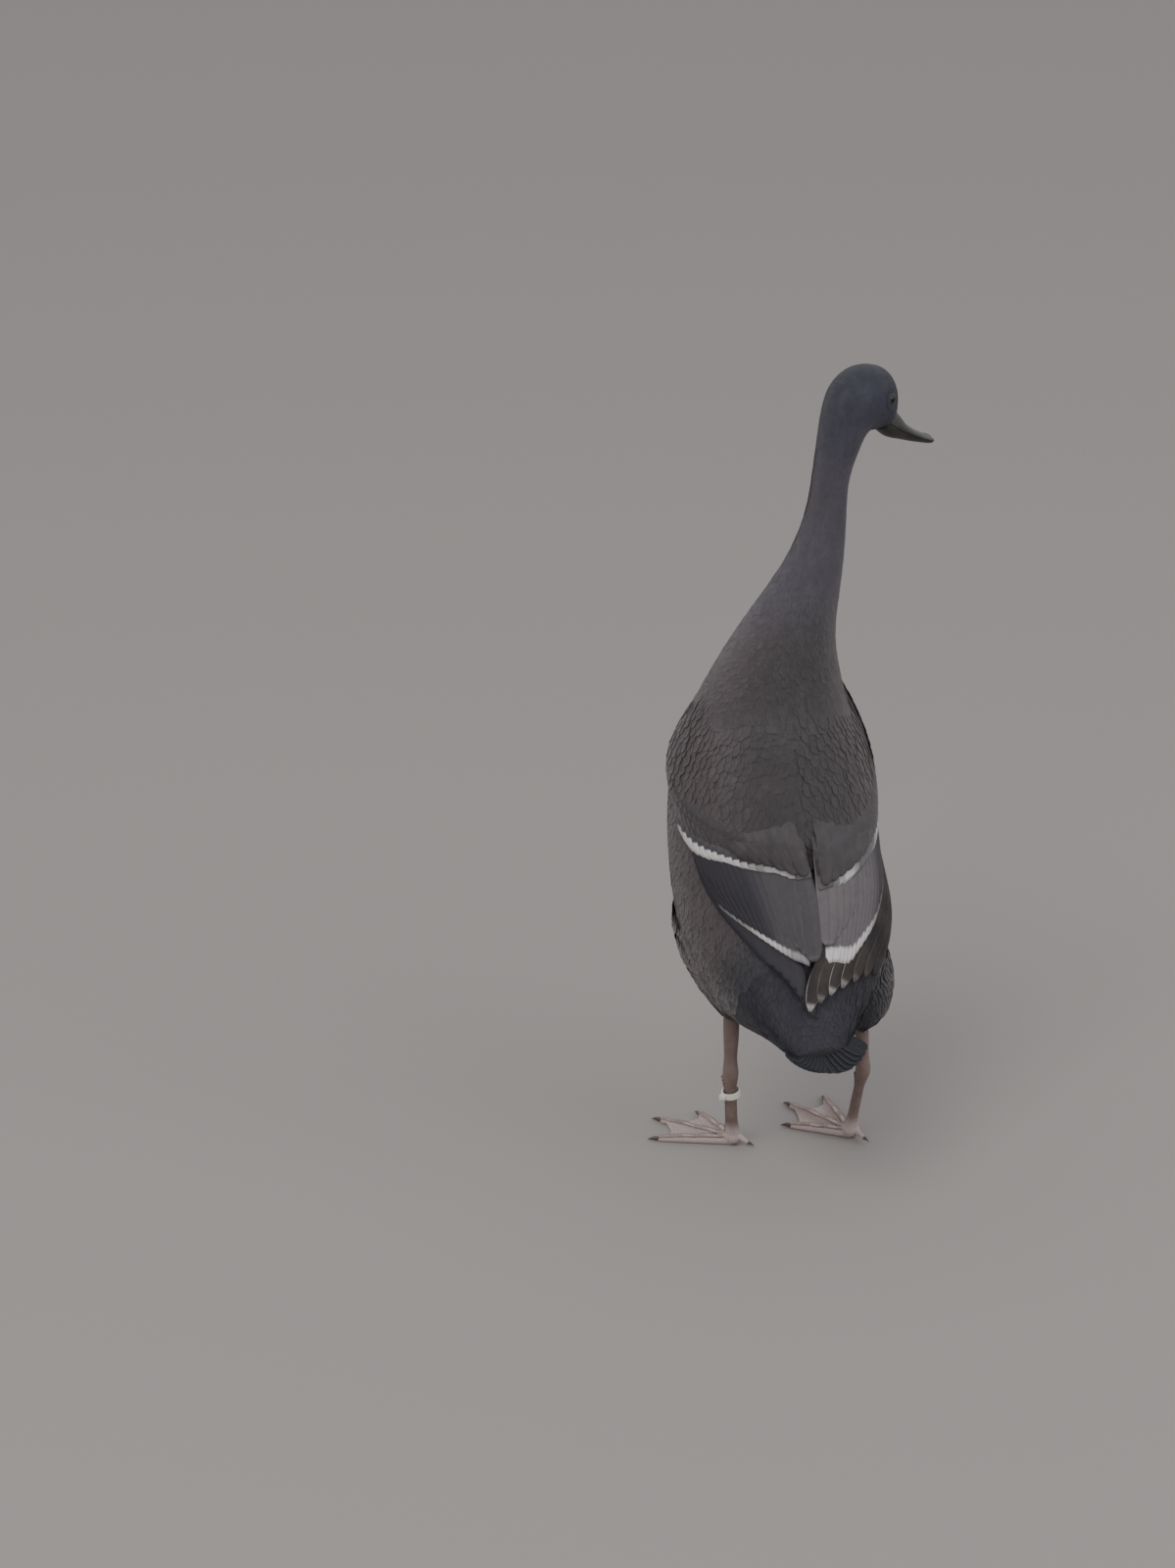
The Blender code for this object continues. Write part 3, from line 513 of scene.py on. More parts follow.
def unit_shape(name, points, faces, spots):
    """A small mesh for the rows to copy, with each point's place across and along it."""
    mesh = bpy.data.meshes.new(name)
    mesh.from_pydata(points, [], faces)
    spot = mesh.uv_layers.new(name="Vane")
    for loop in mesh.loops:
        spot.data[loop.index].uv = spots[loop.vertex_index]
    mesh.shade_smooth()
    return bpy.data.objects.new(name, mesh)


def small_feather(name, outline, slope, dome):
    """A feather of unit width and length from its root to its tip at +Y, flat underneath, with sharp rims."""
    points, spots = [], []
    for t, half in outline:
        high = slope * (t - 0.3 * t * t)
        for s in (-1, 0, 1):
            points.append((s * half, t, high - dome * s * s))
            spots.append((0.5 + s * 0.5, t))
    faces = []
    for i in range(len(outline) - 1):
        a = 3 * i
        faces += [(a, a + 1, a + 4, a + 3), (a + 1, a + 2, a + 5, a + 4), (a, a + 3, a + 5, a + 2)]
    end = 3 * len(outline) - 3
    faces += [(0, 2, 1), (end, end + 1, end + 2)]
    feather = unit_shape(name, points, faces, spots)
    rim = feather.data.attributes.new("sharp_edge", "BOOLEAN", "EDGE")
    for edge in feather.data.edges:
        a, b = sorted(edge.vertices)
        along_side = a % 3 == b % 3 != 1
        at_end = b - a == 1 and (a < 2 or a >= end)
        rim.data[edge.index].value = along_side or at_end
    return feather


BODY_FEATHER = small_feather(
    "body_feather", ((0, 0.2), (0.3, 0.42), (0.6, 0.5), (0.82, 0.45), (0.94, 0.28), (1, 0.07)), 0.07, 0.006)
FACE_FEATHER = small_feather("face_feather", ((0, 0.26), (0.5, 0.5), (0.84, 0.38), (1, 0.08)), 0.06, 0.004)

# One tree lays copies of a shape on plotted points, by each point's own outward and lying directions.
laying = bpy.data.node_groups.new("laid_in_rows", "GeometryNodeTree")
for label, kind in (
        ("Plots", "Geometry"), ("Shape", "Object"), ("Size", "Float"), ("Sway", "Vector"),
        ("Seed", "Int"), ("Finish", "Material")):
    laying.interface.new_socket(label, in_out="INPUT", socket_type="NodeSocket" + kind)
laying.interface.new_socket("Laid", in_out="OUTPUT", socket_type="NodeSocketGeometry")
rows = Nodes(laying)
entry = laying.nodes.new("NodeGroupInput")
given = {plug.name: Socket(rows, plug) for plug in entry.outputs if plug.name}
vector = {"data_type": "FLOAT_VECTOR"}
outward, lying, measure = (
    rows.make("GeometryNodeInputNamedAttribute", {"Name": label}, **vector)
    for label in ("out", "lie", "size"))
turned = rows.make(
    "FunctionNodeAxesToRotation", {0: outward, 1: lying}, primary_axis="Z", secondary_axis="Y")
chance = rows.make(
    "FunctionNodeRandomValue", {0: (-1, -1, -1), 1: (1, 1, 1), "Seed": given["Seed"]}, **vector)
sway = rows.make("ShaderNodeVectorMath", {0: chance, 1: given["Sway"]}, operation="MULTIPLY")
sway = rows.make("FunctionNodeEulerToRotation", {0: sway})
turned = rows.make("FunctionNodeRotateRotation", {0: turned, 1: sway}, rotation_space="LOCAL")
measure = rows.make("ShaderNodeVectorMath", {0: measure, "Scale": given["Size"]}, operation="SCALE")
shape = rows.make("GeometryNodeObjectInfo", {"Object": given["Shape"], "As Instance": True}, "Geometry")
laid = rows.make(
    "GeometryNodeInstanceOnPoints",
    {"Points": given["Plots"], "Instance": shape, "Rotation": turned, "Scale": measure})
laid = rows.make("GeometryNodeRealizeInstances", {0: laid})
laid = rows.make("GeometryNodeSetMaterial", {"Geometry": laid, "Material": given["Finish"]})
laying.links.new(laid.plug, laying.nodes.new("NodeGroupOutput").inputs[0])


def laid_rows(name, shape, plots, finish, sway, seed):
    """Plots hold place, out, lie, size, tint, edging and root, each an array with a row for each copy."""
    mesh = bpy.data.meshes.new(name)
    mesh.from_pydata(plots["place"].tolist(), [], [])
    for label in ("out", "lie", "size"):
        stored(mesh, label, "FLOAT_VECTOR", "vector", plots[label])
    tinted(mesh, plots["tint"])
    stored(mesh, "edging", "FLOAT", "value", plots["edging"])
    stored(mesh, "root", "FLOAT_VECTOR", "vector",
           np.column_stack([plots["root"], np.zeros(len(plots["root"]))]))
    made = linked(name, mesh)
    step = made.modifiers.new("rows", "NODES")
    step.node_group = laying
    values = {"Shape": shape, "Size": 1.0, "Sway": sway, "Seed": seed, "Finish": finish.material}
    for item in laying.interface.items_tree:
        if item.in_out == "INPUT" and item.name in values:
            step[item.identifier] = values[item.name]
    applied(made)
    mesh = made.data
    corner = np.empty(len(mesh.loops), int)
    mesh.loops.foreach_get("vertex_index", corner)
    root = np.empty(len(mesh.vertices) * 3, "f")
    mesh.attributes["root"].data.foreach_get("vector", root)
    spot = np.empty(len(mesh.loops) * 2, "f")
    mesh.uv_layers["Vane"].data.foreach_get("uv", spot)
    patch = root.reshape(-1, 3)[corner, :2] + 0.003 * (spot.reshape(-1, 2) - 0.5)
    mesh.uv_layers.new(name="OFBake").data.foreach_set("uv", patch.astype("f").ravel())
    for label in ("out", "lie", "size", "root"):
        mesh.attributes.remove(mesh.attributes[label])
    return made


def settle_rows(name, shape, plots, finish, slot, sway=(0.0, 0.0, 0.0), seed=1):
    settle(laid_rows(name, shape, plots, finish, sway, seed), finish, slot)


skin_tree = BVHTree.FromPolygons(skin_points.tolist(), [tuple(face.vertices) for face in skin.data.polygons])


def seated(place, outward, reach, share=0.6):
    """Where lines from outside first meet the skin, its normals there, and which lines met it."""
    found, normals, met = place.copy(), outward.copy(), np.zeros(len(place), bool)
    for i, (start, way) in enumerate(zip(place + outward * reach, -outward)):
        spot, normal = skin_tree.ray_cast(Vector(start), Vector(way), reach * 2.2)[:2]
        if spot:
            found[i], normals[i], met[i] = spot, normal, True
    return found, unit(normals * share + outward * (1 - share)), met


def flat_to(normals, way):
    return unit(way - normals * (way * normals).sum(1, keepdims=True))


def combed(place, outward, way, length, reach):
    """Each feather's outward and lying directions, along the skin from its root to the skin under its tip."""
    lie = flat_to(outward, way)
    under, _, met = seated(place + lie * length[:, None] * 0.8, outward, reach)
    climb = np.where(met, ((under - place) * outward).sum(1), 0)
    lie = unit(lie * length[:, None] * 0.8 + outward * np.clip(climb, -0.1 * length, 0.4 * length)[:, None])
    return flat_to(lie, outward), lie


def on_arm(along, turn):
    """The part of the folded arm that small feathers are rooted on."""
    return (pad_lift(along, turn) > 0) & (along > pad_low(np.abs(turn)) + 3)


def off_arm(along, turn):
    return pad_lift(along, turn) <= 0


def trunk_plots(first, last, close, reach, share=0.6, zone=None):
    """Staggered rows of roots round the trunk, seated on the skin, and how far along it each one is."""
    along, around = [], []
    at, odd = first, 0
    ring = np.linspace(0, 2 * math.pi, 97)
    while at < last:
        step = float(feather_step(at)) * close
        girth = np.linalg.norm(np.diff(trunk_point(np.full(97, at), ring), axis=0), axis=1).sum()
        count = int(girth / step)
        around.append((np.arange(count) + 0.5 * odd) * 2 * math.pi / count)
        along.append(np.full(count, at))
        at, odd = at + step, 1 - odd
    along, around = np.concatenate(along), np.concatenate(around)
    if zone:
        kept = zone(along, (np.degrees(around) + 180) % 360 - 180)
        along, around = along[kept], around[kept]
    step = feather_step(along) * close
    along = np.clip(along + dice.normal(0, 0.14, len(along)) * step, 0.5, BILL_BASE - 0.8)
    around = around + dice.normal(0, 0.12, len(along)) * step / 70
    here, outward, ahead, beside = trunk_frame(along, around)
    place, normals, met = seated(world(here), outward, reach * MM, share)
    turn = (np.degrees(around) + 180) % 360 - 180
    arm = pad_lift(along, turn) > 0
    raised = ((place - world(here)) * outward).sum(1)
    on_thigh = (raised > 1.2 * MM) & (place[:, 2] < 168 * MM) & (np.abs(turn) > 55)
    met &= arm | ~on_thigh
    slant = np.where(arm, np.radians(30) * np.clip(np.abs(turn) / 90, 0, 1), 0.0)
    way = -unit(ahead) * np.cos(slant)[:, None]
    way -= unit(beside) * (np.sign(turn) * np.sin(slant))[:, None]
    near = rise(along, 165, 60) * rise(np.abs(turn), 60, 100)
    edging = 0.03 + 0.4 * near + 0.12 * arm * rise(np.abs(turn), 20, 70)
    edging = edging * (1 - rise(along, 300, 360)) * dice.uniform(0.4, 1.3, len(along))
    grow = (1.0 + 0.2 * near) * dice.uniform(0.92, 1.1, len(along)) * (1 - 0.2 * rise(along, 34, 14))
    rim = arm * rise(np.abs(turn), 62, 92)
    grow = grow * (1 - 0.2 * rim)
    size = np.column_stack([1.95 * step * grow * (1 - 0.3 * rim), 3.1 * step * grow, 3.1 * step * grow])
    tint = plumage(along, around) * dice.normal(1.0, 0.06, (len(along), 1)).clip(0.8, 1.25)
    root = np.column_stack([0.02 + 0.96 * along / BILL_BASE, 0.02 + 0.96 * (around / (2 * math.pi) % 1)])
    outward, lie = combed(place, normals, way, size[:, 1] * MM, reach * MM)
    plots = {"place": place - outward * size[:, 1:2] * MM * 0.012, "out": outward, "lie": lie,
             "size": size * MM, "tint": tint, "edging": edging, "root": root}
    return {label: rows[met] for label, rows in plots.items()}, along[met]


def feather_finish(name, pale, roughness, gloss, **fixed):
    """Barbs slant from the shaft to the edges, and the worn edges are paler."""
    made = Finish(name, Coat_Weight=gloss, Coat_Roughness=0.32, **fixed)
    across, along = made.vane()
    off = abs(across - 0.5) * 2.0
    barbs = ((along - off * 0.30) * 170.0).sine()
    shaft = off.rise(0.16, 0.02)
    rim = off.rise(0.55, 0.95).most(along.rise(0.72, 0.97))
    soft = made.noise(160, 4.0)
    wide = made.noise(26, 2.0)
    tone = (rim * made.tone("edging", "Fac")).mix(made.tone("tint"), pale)
    tone = (shaft * 0.15).mix(tone, (0.02, 0.017, 0.016))
    tone = ((barbs * 0.5 + 0.5) * 0.14 + (soft - 0.5) * 0.5 + 0.06).mix(tone, (0.0, 0.0, 0.0))
    tone = wide.rise(0.2, 0.85).mix(tone, made.make("ShaderNodeMix", {0: 0.22, 6: tone, 7: (1, 1, 1, 1)}, 2,
                                                    data_type="RGBA", blend_type="SOFT_LIGHT"))
    made.feed(Base_Color=tone, Roughness=roughness + barbs * 0.05 + (soft - 0.5) * 0.2,
              Normal=made.bump(barbs + shaft + soft, 0.07, 0.6))
    return made


body_coat = feather_finish("body_plumage", (0.20, 0.17, 0.155), 0.52, 0.04, Sheen_Weight=0.18,
                           Sheen_Roughness=0.4)
neck_coat = feather_finish("neck_plumage", (0.10, 0.09, 0.10), 0.46, 0.06, Specular_IOR_Level=0.4,
                           Sheen_Weight=0.10)
head_coat = feather_finish(
    "head_plumage", (0.07, 0.07, 0.09), 0.46, 0.08, Specular_IOR_Level=0.3, Coat_Tint=(0.80, 0.85, 1.0, 1.0),
    Sheen_Weight=0.06)

RUMP_LINE = 62
plots, along = trunk_plots(7, NECK_BASE + 6, close=1.0, reach=30, zone=off_arm)
black = along < RUMP_LINE
body = {label: rows[~black] for label, rows in plots.items()}
rump = {label: rows[black] for label, rows in plots.items()}
rump_coat = feather_finish(
    "rump_plumage", (0.045, 0.043, 0.055), 0.52, 0.06, Specular_IOR_Level=0.35, Sheen_Weight=0.05)
settle_rows("body_coat", BODY_FEATHER, body, body_coat, "dark_feather", (0.012, 0.03, 0.09), 3)
settle_rows("rump_coat", BODY_FEATHER, rump, rump_coat, "black_feather", (0.012, 0.03, 0.08), 4)
plots = trunk_plots(110, 290, close=1.3, reach=30, share=0.5, zone=on_arm)[0]
settle_rows("arm_coat", BODY_FEATHER, plots, body_coat, "wing_feather", (0.012, 0.03, 0.08), 7)
plots = trunk_plots(NECK_BASE, UPPER_NECK + 14, close=0.95, reach=7, share=0.2)[0]
settle_rows("neck_coat", FACE_FEATHER, plots, neck_coat, "head_feather", (0.012, 0.03, 0.07), 5)

# The eye is a dark wet ball, sunk in the side of the head. It has a thin bare lid all round, and the
# smallest feathers of the face close in on the lid.
EYE_ALONG, EYE_AROUND = 510.0, math.radians(82)
EYE_RADIUS, EYE_DEPTH = 4.75, 4.2
LID_RADII, LID_HEIGHT, LID_THICK, LID_CLEAR = (3.95, 3.45), 2.9, 0.6, 4.1


def eye_frame(side):
    here, outward = (v[0] for v in trunk_frame(np.array([EYE_ALONG]), np.array([side * EYE_AROUND]))[:2])
    level = unit(np.cross(outward, UP))
    return here - outward * EYE_DEPTH, (level, np.cross(outward, level), outward)


def ellipsoid(name, centre, axes, radii, sides=32, rows=18):
    rings = []
    for fall in np.linspace(0.02, math.pi - 0.02, rows):
        turn = round_turn(sides)[:, None]
        flat = axes[0] * radii[0] * np.cos(turn) + axes[1] * radii[1] * np.sin(turn)
        rings.append(centre + flat * math.sin(fall) + axes[2] * radii[2] * math.cos(fall))
    return tube(name, rings)


def hoop(name, centre, axes, radii, height, thick, sides=56, around=12):
    """A ring round the third axis, flattened by its two radii."""
    rings = []
    for turn in round_turn(sides):
        spoke = axes[0] * math.cos(turn) + axes[1] * math.sin(turn)
        middle = centre + axes[0] * radii[0] * math.cos(turn) + axes[1] * radii[1] * math.sin(turn)
        small = round_turn(around)[:, None]
        rings.append(middle + axes[2] * height + (spoke * np.cos(small) + axes[2] * np.sin(small)) * thick)
    return tube(name, rings, ends=False)


lid_skin = Finish("lid_skin", Roughness=0.5)
folds = lid_skin.noise(1500, 3.0)
lid_skin.feed(Base_Color=folds.mix((0.020, 0.020, 0.024), (0.040, 0.038, 0.042)),
              Normal=lid_skin.bump(folds, 0.15))
plots = trunk_plots(UPPER_NECK + 12, BILL_BASE + 0.5, close=0.92, reach=5, share=0.2)[0]
for side, word in SIDES.items():
    centre, axes = eye_frame(side)
    eye = ellipsoid("eye_ball_" + word, centre, axes, [EYE_RADIUS] * 3, 40, 26)
    ball = Finish("wet_eye_" + word, Roughness=0.3, Specular_IOR_Level=0.1, Coat_Weight=0.45,
                  Coat_Roughness=0.03)
    spot = ball.make("ShaderNodeVectorMath",
                     {0: ball.place(), 1: tuple(world(centre + axes[2] * EYE_RADIUS))},
                     operation="SUBTRACT")
    off = ball.make("ShaderNodeVectorMath", {0: spot}, "Value", operation="LENGTH") * 1000.0
    streaks = ball.noise(2600, 2.0)
    iris = streaks.mix((0.006, 0.004, 0.003), (0.018, 0.009, 0.005))
    ball.feed(Base_Color=off.rise(2.0, 2.25).mix((0.002, 0.002, 0.002),
                                                 off.rise(3.5, 3.9).mix(iris, (0.006, 0.005, 0.005))))
    settle(eye, ball, "eye_black", "eye_" + word)
    lid = hoop("lid_" + word, centre, axes, LID_RADII, LID_HEIGHT, LID_THICK)
    settle(lid, lid_skin, "head_feather")
    away = (plots["place"] - world(centre)) / MM
    tips = away + plots["lie"] * plots["size"][:, 1:2] / MM * 0.85
    near = np.zeros(len(away), bool)
    for reach in (away, tips):
        flat = reach - axes[2] * (reach @ axes[2])[:, None]
        near |= (np.linalg.norm(flat, axis=1) < LID_CLEAR) & (reach @ axes[2] > 0)
    plots = {label: rows[~near] for label, rows in plots.items()}
    turn = round_turn(30)
    for radius, length in ((4.35, 2.2), (5.3, 2.8)):
        spokes = axes[0] * np.cos(turn)[:, None] + axes[1] * np.sin(turn)[:, None]
        place = world(centre + spokes * radius + axes[2] * 1.5)
        toward = np.tile(axes[2], (len(turn), 1))
        place, normals, _ = seated(place, toward, 5 * MM)
        back = -unit(trunk_frame(np.full(30, EYE_ALONG), np.full(30, side * EYE_AROUND))[2])
        size = np.tile((1.9 * MM, length * MM, length * MM), (len(turn), 1))
        ring = {"place": place, "out": normals, "lie": flat_to(normals, back + spokes * 0.75), "size": size,
                "tint": np.tile(CHEEK_VIOLET, (len(turn), 1)), "edging": np.full(len(turn), 0.1),
                "root": np.column_stack([0.9 + 0.01 * np.cos(turn), 0.5 + side * 0.25 + 0.01 * np.sin(turn)])}
        plots = {label: np.concatenate([rows, ring[label]]) for label, rows in plots.items()}
settle_rows("head_coat", FACE_FEATHER, plots, head_coat, "head_feather", (0.012, 0.03, 0.07), 6)

# The thighs carry soft brown feathers with paler edges, which run down and back and end above the hock.
# They close over the top of the bare leg.
THIGH_TOP = 182
INNER_SIDE = {LEFT: (130, 0.1, 0.9), RIGHT: (45, -0.3, 0.5)}


def thigh_step(height):
    return np.minimum(2.7 + (height - 95) * 0.03, 4.2)


for side, word in SIDES.items():
    height, turn = [], []
    at, odd = THIGHS[side][0, 2] + 1.5, 0
    while at < THIGH_TOP:
        half = np.interp(at, THIGHS[side][:, 2], THIGHS[side][:, 3:5].mean(1))
        step = thigh_step(at)
        count = int(2 * math.pi * half / step)
        turn.append((np.arange(count) + 0.5 * odd) * 2 * math.pi / count)
        height.append(np.full(count, at))
        at, odd = at + step * 0.9, 1 - odd
    height, turn = np.concatenate(height), np.concatenate(turn)
    height = height + dice.normal(0, 0.5, len(height))
    here = thigh_point(side, height, turn)
    rise_way = thigh_point(side, height + 1, turn) - here
    outward = unit(np.cross(thigh_point(side, height, turn + 0.02) - here, rise_way))
    place, normals, met = seated(world(here), outward, 6 * MM)
    step = thigh_step(height)
    way = -unit(rise_way) + np.array((0, 0.35, 0))
    facing, low, high = INNER_SIDE[side]
    inward = rise(np.cos(turn - math.radians(facing)), low, high)
    tint = FLANK + (RUMP * 1.2 - FLANK) * inward[:, None]
    tint = tint * dice.normal(1, 0.08, (len(turn), 1)).clip(0.7, 1.3)
    size = np.column_stack([2.0 * step, 3.0 * step, 2.6 * step]) * MM
    root = np.column_stack([0.1 + 0.8 * turn / 7, 0.1 + 0.8 * (height - 85) / 100])
    outward, lie = combed(place, normals, way, size[:, 1], 6 * MM)
    met &= (np.abs(place - world(here)).max(1) < 3.5 * MM)
    plots = {"place": place, "out": outward, "lie": lie, "size": size, "tint": tint,
             "edging": dice.uniform(0.2, 0.7, len(turn)) * (1 - 0.9 * inward), "root": root}
    plots = {label: rows[met] for label, rows in plots.items()}
    settle_rows("thigh_coat_" + word, BODY_FEATHER, plots, body_coat, "flank_feather", (0.02, 0.04, 0.1),
                20 + side)

# Each folded wing is layers of stiff feathers, rooted under the small ones of its arm: greater coverts with
# white tips, secondaries with a dark blue patch and a pale trailing edge, and primaries, which lie over the
# rump. The right wing's tips lie on top.
POINTED_OUTLINE = ((0, 0.55), (0.25, 0.88), (0.55, 1.0), (0.8, 0.94), (0.92, 0.74), (0.97, 0.5), (1, 0.14))
LONG_OUTLINE = ((0, 0.55), (0.25, 0.9), (0.6, 1.0), (0.96, 1.0), (0.985, 0.93), (1, 0.8))
FAN_OUTLINE = ((0, 0.55), (0.3, 0.9), (0.7, 1.0), (0.9, 0.95), (0.96, 0.78), (1, 0.45))
SQUARE_OUTLINE = ((0, 0.7), (0.45, 1.0), (0.95, 1.0), (0.98, 0.94), (1, 0.84))
ROUND_OUTLINE = ((0, 0.7), (0.45, 1.0), (0.82, 1.0), (0.92, 0.85), (0.975, 0.6), (1, 0.3))


def quills(name, places, outline, pale, rows=34, cols=9, splits=2):
    """Long feathers in one mesh. Each place turns grids of t along and s across into points and normals."""
    points, faces, spots, bakes, ranks = [], [], [], [], []
    t, s = np.meshgrid(np.linspace(0, 1, rows) ** 0.9, np.linspace(-1, 1, cols), indexing="ij")
    across = math.ceil(math.sqrt(len(places) * 4))
    down_count = math.ceil(len(places) / across)
    for number, place in enumerate(places):
        width = np.interp(t, *zip(*outline))
        for _ in range(splits):
            at, edge = dice.uniform(0.35, 0.9), dice.choice((-1, 1))
            width = width * (1 - 0.16 * np.exp(-(((t - at) / 0.018) ** 2)) * (s * edge > 0))
        here, outward = place(t.ravel(), (s * width).ravel())
        thick = (0.12 + 0.5 * (1 - s.ravel() ** 2))[:, None]
        thick[:: cols] = 0.12
        thick = thick * (0.5 + 0.5 * np.sin(math.pi * np.clip(t.ravel(), 0, 0.98)))[:, None]
        base = 2 * number * rows * cols
        points += [here + outward * thick * 0.6, here - outward * thick * 0.4]
        faces += shell_faces(rows, cols, base)
        spot = np.column_stack([(s.ravel() + 1) / 2, t.ravel()])
        cell = np.array((number % across, number // across))
        bake = (cell + 0.06 + 0.88 * spot) / (across, down_count)
        spots += [spot, spot]
        bakes += [bake, bake]
        ranks.append(np.full(2 * s.size, number / max(1, len(places) - 1)))
    made = solid(name, np.concatenate(points), faces)
    mesh = made.data
    for label, worth in (("rank", np.concatenate(ranks)), ("pale", np.repeat(pale, 2 * s.size))):
        stored(mesh, label, "FLOAT", "value", worth)
    corner = np.empty(len(mesh.loops), int)
    mesh.loops.foreach_get("vertex_index", corner)
    for label, rows_of in (("Vane", spots), ("OFBake", bakes)):
        layer = mesh.uv_layers.new(name=label)
        layer.data.foreach_set("uv", np.concatenate(rows_of)[corner].astype("f").ravel())
    return made


LIFTED_AT = (0.0, 0.55, 0.8, 1.0)


def on_trunk(root, tip, half_width, lifts, tilt, bow=0.0, dome=0.5, slant=0.0):
    """Places a feather along the trunk from root to tip, each (along, degrees around).

    Slant moves the two corners of its end along the body, by so much each.
    """
    root, tip = (np.array((end[0], math.radians(end[1]))) for end in (root, tip))
    reach = tip - root
    bow = math.radians(bow)

    def place(t, s):
        along = root[0] + reach[0] * t
        around = root[1] + reach[1] * t + bow * np.sin(math.pi * t)
        here, outward, ahead, beside = trunk_frame(along, around)
        course = ahead * reach[0] + beside * (reach[1] + bow * math.pi * np.cos(math.pi * t))[:, None]
        side_way = unit(np.cross(outward, course))
        side_way *= np.sign((side_way * beside).sum(1, keepdims=True)) * (half_width * s)[:, None]
        aa, ab, bb = ((p * q).sum(1) for p, q in ((ahead, ahead), (ahead, beside), (beside, beside)))
        ax, bx = (ahead * side_way).sum(1), (beside * side_way).sum(1)
        whole = aa * bb - ab * ab
        here, outward, ahead, beside = trunk_frame(
            along + (ax * bb - bx * ab) / whole + slant * s * t**3, around + (bx * aa - ax * ab) / whole)
        lift = np.interp(t, LIFTED_AT, lifts) + tilt * s + dome * (1 - s * s)
        return here + outward * lift[:, None], outward

    return place


def quill_finish(name, paint, roughness, gloss, **fixed):
    """Long feathers with a raised shaft and close slanting barbs; paint gives the colour."""
    made = Finish(name, Coat_Weight=gloss, Coat_Roughness=0.28, **fixed)
    across, along = made.vane()
    off = abs(across - 0.5) * 2.0
    barbs = ((along - off * 0.10) * 420.0).sine()
    shaft = off.rise(0.10, 0.03)
    soft = made.noise(220, 4.0)
    tone = paint(made, across, along, off)
    tone = (shaft * 0.3).mix(tone, (0.045, 0.038, 0.034))
    tone = ((barbs * 0.5 + 0.5) * 0.16 + (soft - 0.5) * 0.5).mix(tone, (0.0, 0.0, 0.0))
    made.feed(Base_Color=tone, Roughness=roughness + (soft - 0.5) * 0.2,
              Normal=made.bump(barbs * 0.4 + shaft * 2.0 + soft, 0.09, 0.7))
    return made


def covert_paint(made, across, along, off):
    """Dark grey, and white at the tip as far as the feather's pale share goes."""
    pale = made.tone("pale", "Fac")
    grey = made.noise(70).mix((0.060, 0.056, 0.064), (0.082, 0.074, 0.080))
    dark = along.rise(0.40, 0.66).mix(grey, (0.050, 0.046, 0.052))
    ragged = along + (made.noise(600) - 0.5) * 0.10 - off * off * 0.03
    return (ragged.rise(0.66, 0.72) * pale).mix(dark, (0.66, 0.65, 0.64))


def secondary_paint(grey, first, last, border):
    """Inner ones grey, turning dark violet-blue from first to last in their row, with a whitish end."""

    def paint(made, across, along, off):
        blue = (made.noise(60)).mix((0.014, 0.0125, 0.017), (0.028, 0.0255, 0.036))
        shows = made.tone("rank", "Fac").rise(first, last)
        tone = shows.mix(off.rise(0.1, 0.95).mix(tuple(0.62 * c for c in grey), grey), blue)
        ragged = along + (made.noise(420) - 0.5) * 0.04
        tone = (ragged.rise(0.84, 0.90) * shows * 0.5).mix(tone, (0.014, 0.0135, 0.016))
        return (ragged.rise(border, border + 0.035) * made.tone("pale", "Fac")).mix(tone, (0.62, 0.60, 0.595))

    return paint


def tertial_paint(grey):
    def paint(made, across, along, off):
        tone = (made.noise(40)).mix(tuple(0.6 * c for c in grey), grey)
        edge = off.rise(0.75, 1.0).most(along.rise(0.94, 0.99)) * made.tone("pale", "Fac")
        return edge.mix(tone, (0.36, 0.345, 0.34))

    return paint


def shoulder_paint(made, across, along, off):
    """Dull grey-brown with hardly paler edges, as the small feathers above it."""
    tone = made.noise(90).rise(0.25, 0.75).mix((0.026, 0.022, 0.026), (0.046, 0.038, 0.042))
    edge = off.rise(0.6, 1.0).most(along.rise(0.8, 1.0)) * made.tone("pale", "Fac")
    return edge.mix(tone, (0.105, 0.090, 0.089))


def left_primary_paint(made, across, along, off):
    slate = off.rise(0.1, 0.8).mix((0.034, 0.032, 0.040), (0.022, 0.021, 0.027))
    return (off.rise(0.85, 1.0) * 0.4).mix(slate, (0.075, 0.072, 0.080))


def right_primary_paint(made, across, along, off):
    dark = made.noise(50).rise(0.3, 0.7).mix((0.017, 0.015, 0.0155), (0.046, 0.038, 0.034))
    worn = off.rise(0.86, 0.98).most(along.rise(0.965, 0.985)) * along.rise(0.86, 0.95)
    return (worn * made.tone("pale", "Fac")).mix(dark, (0.33, 0.30, 0.28))


covert_finish = quill_finish("greater_coverts", covert_paint, 0.5, 0.05, Sheen_Weight=0.1)
secondary_finish = {
    LEFT: quill_finish("secondaries_left", secondary_paint((0.066, 0.060, 0.069), 0.16, 0.42, 0.915), 0.48,
                       0.08),
    # The right wing's inner grey is about twice as light as the left's. This is a painted highlight where
    # light falls on the curve of the right wing; the feathers are the same grey on both wings.
    RIGHT: quill_finish("secondaries_right", secondary_paint((0.145, 0.128, 0.138), 0.5, 0.85, 0.885), 0.48,
                        0.08),
}
shoulder_finish = quill_finish("shoulder_feathers", shoulder_paint, 0.55, 0.03, Sheen_Weight=0.15)
tertial_finish = {
    LEFT: quill_finish("tertials_left", tertial_paint((0.070, 0.063, 0.071)), 0.5, 0.06),
    # The right tertials' grey is about twice as light as the left's. This is a painted highlight where light
    # falls on the right wing's curve; the feathers are the same grey on both wings.
    RIGHT: quill_finish("tertials_right", tertial_paint((0.150, 0.134, 0.143)), 0.5, 0.06),
}
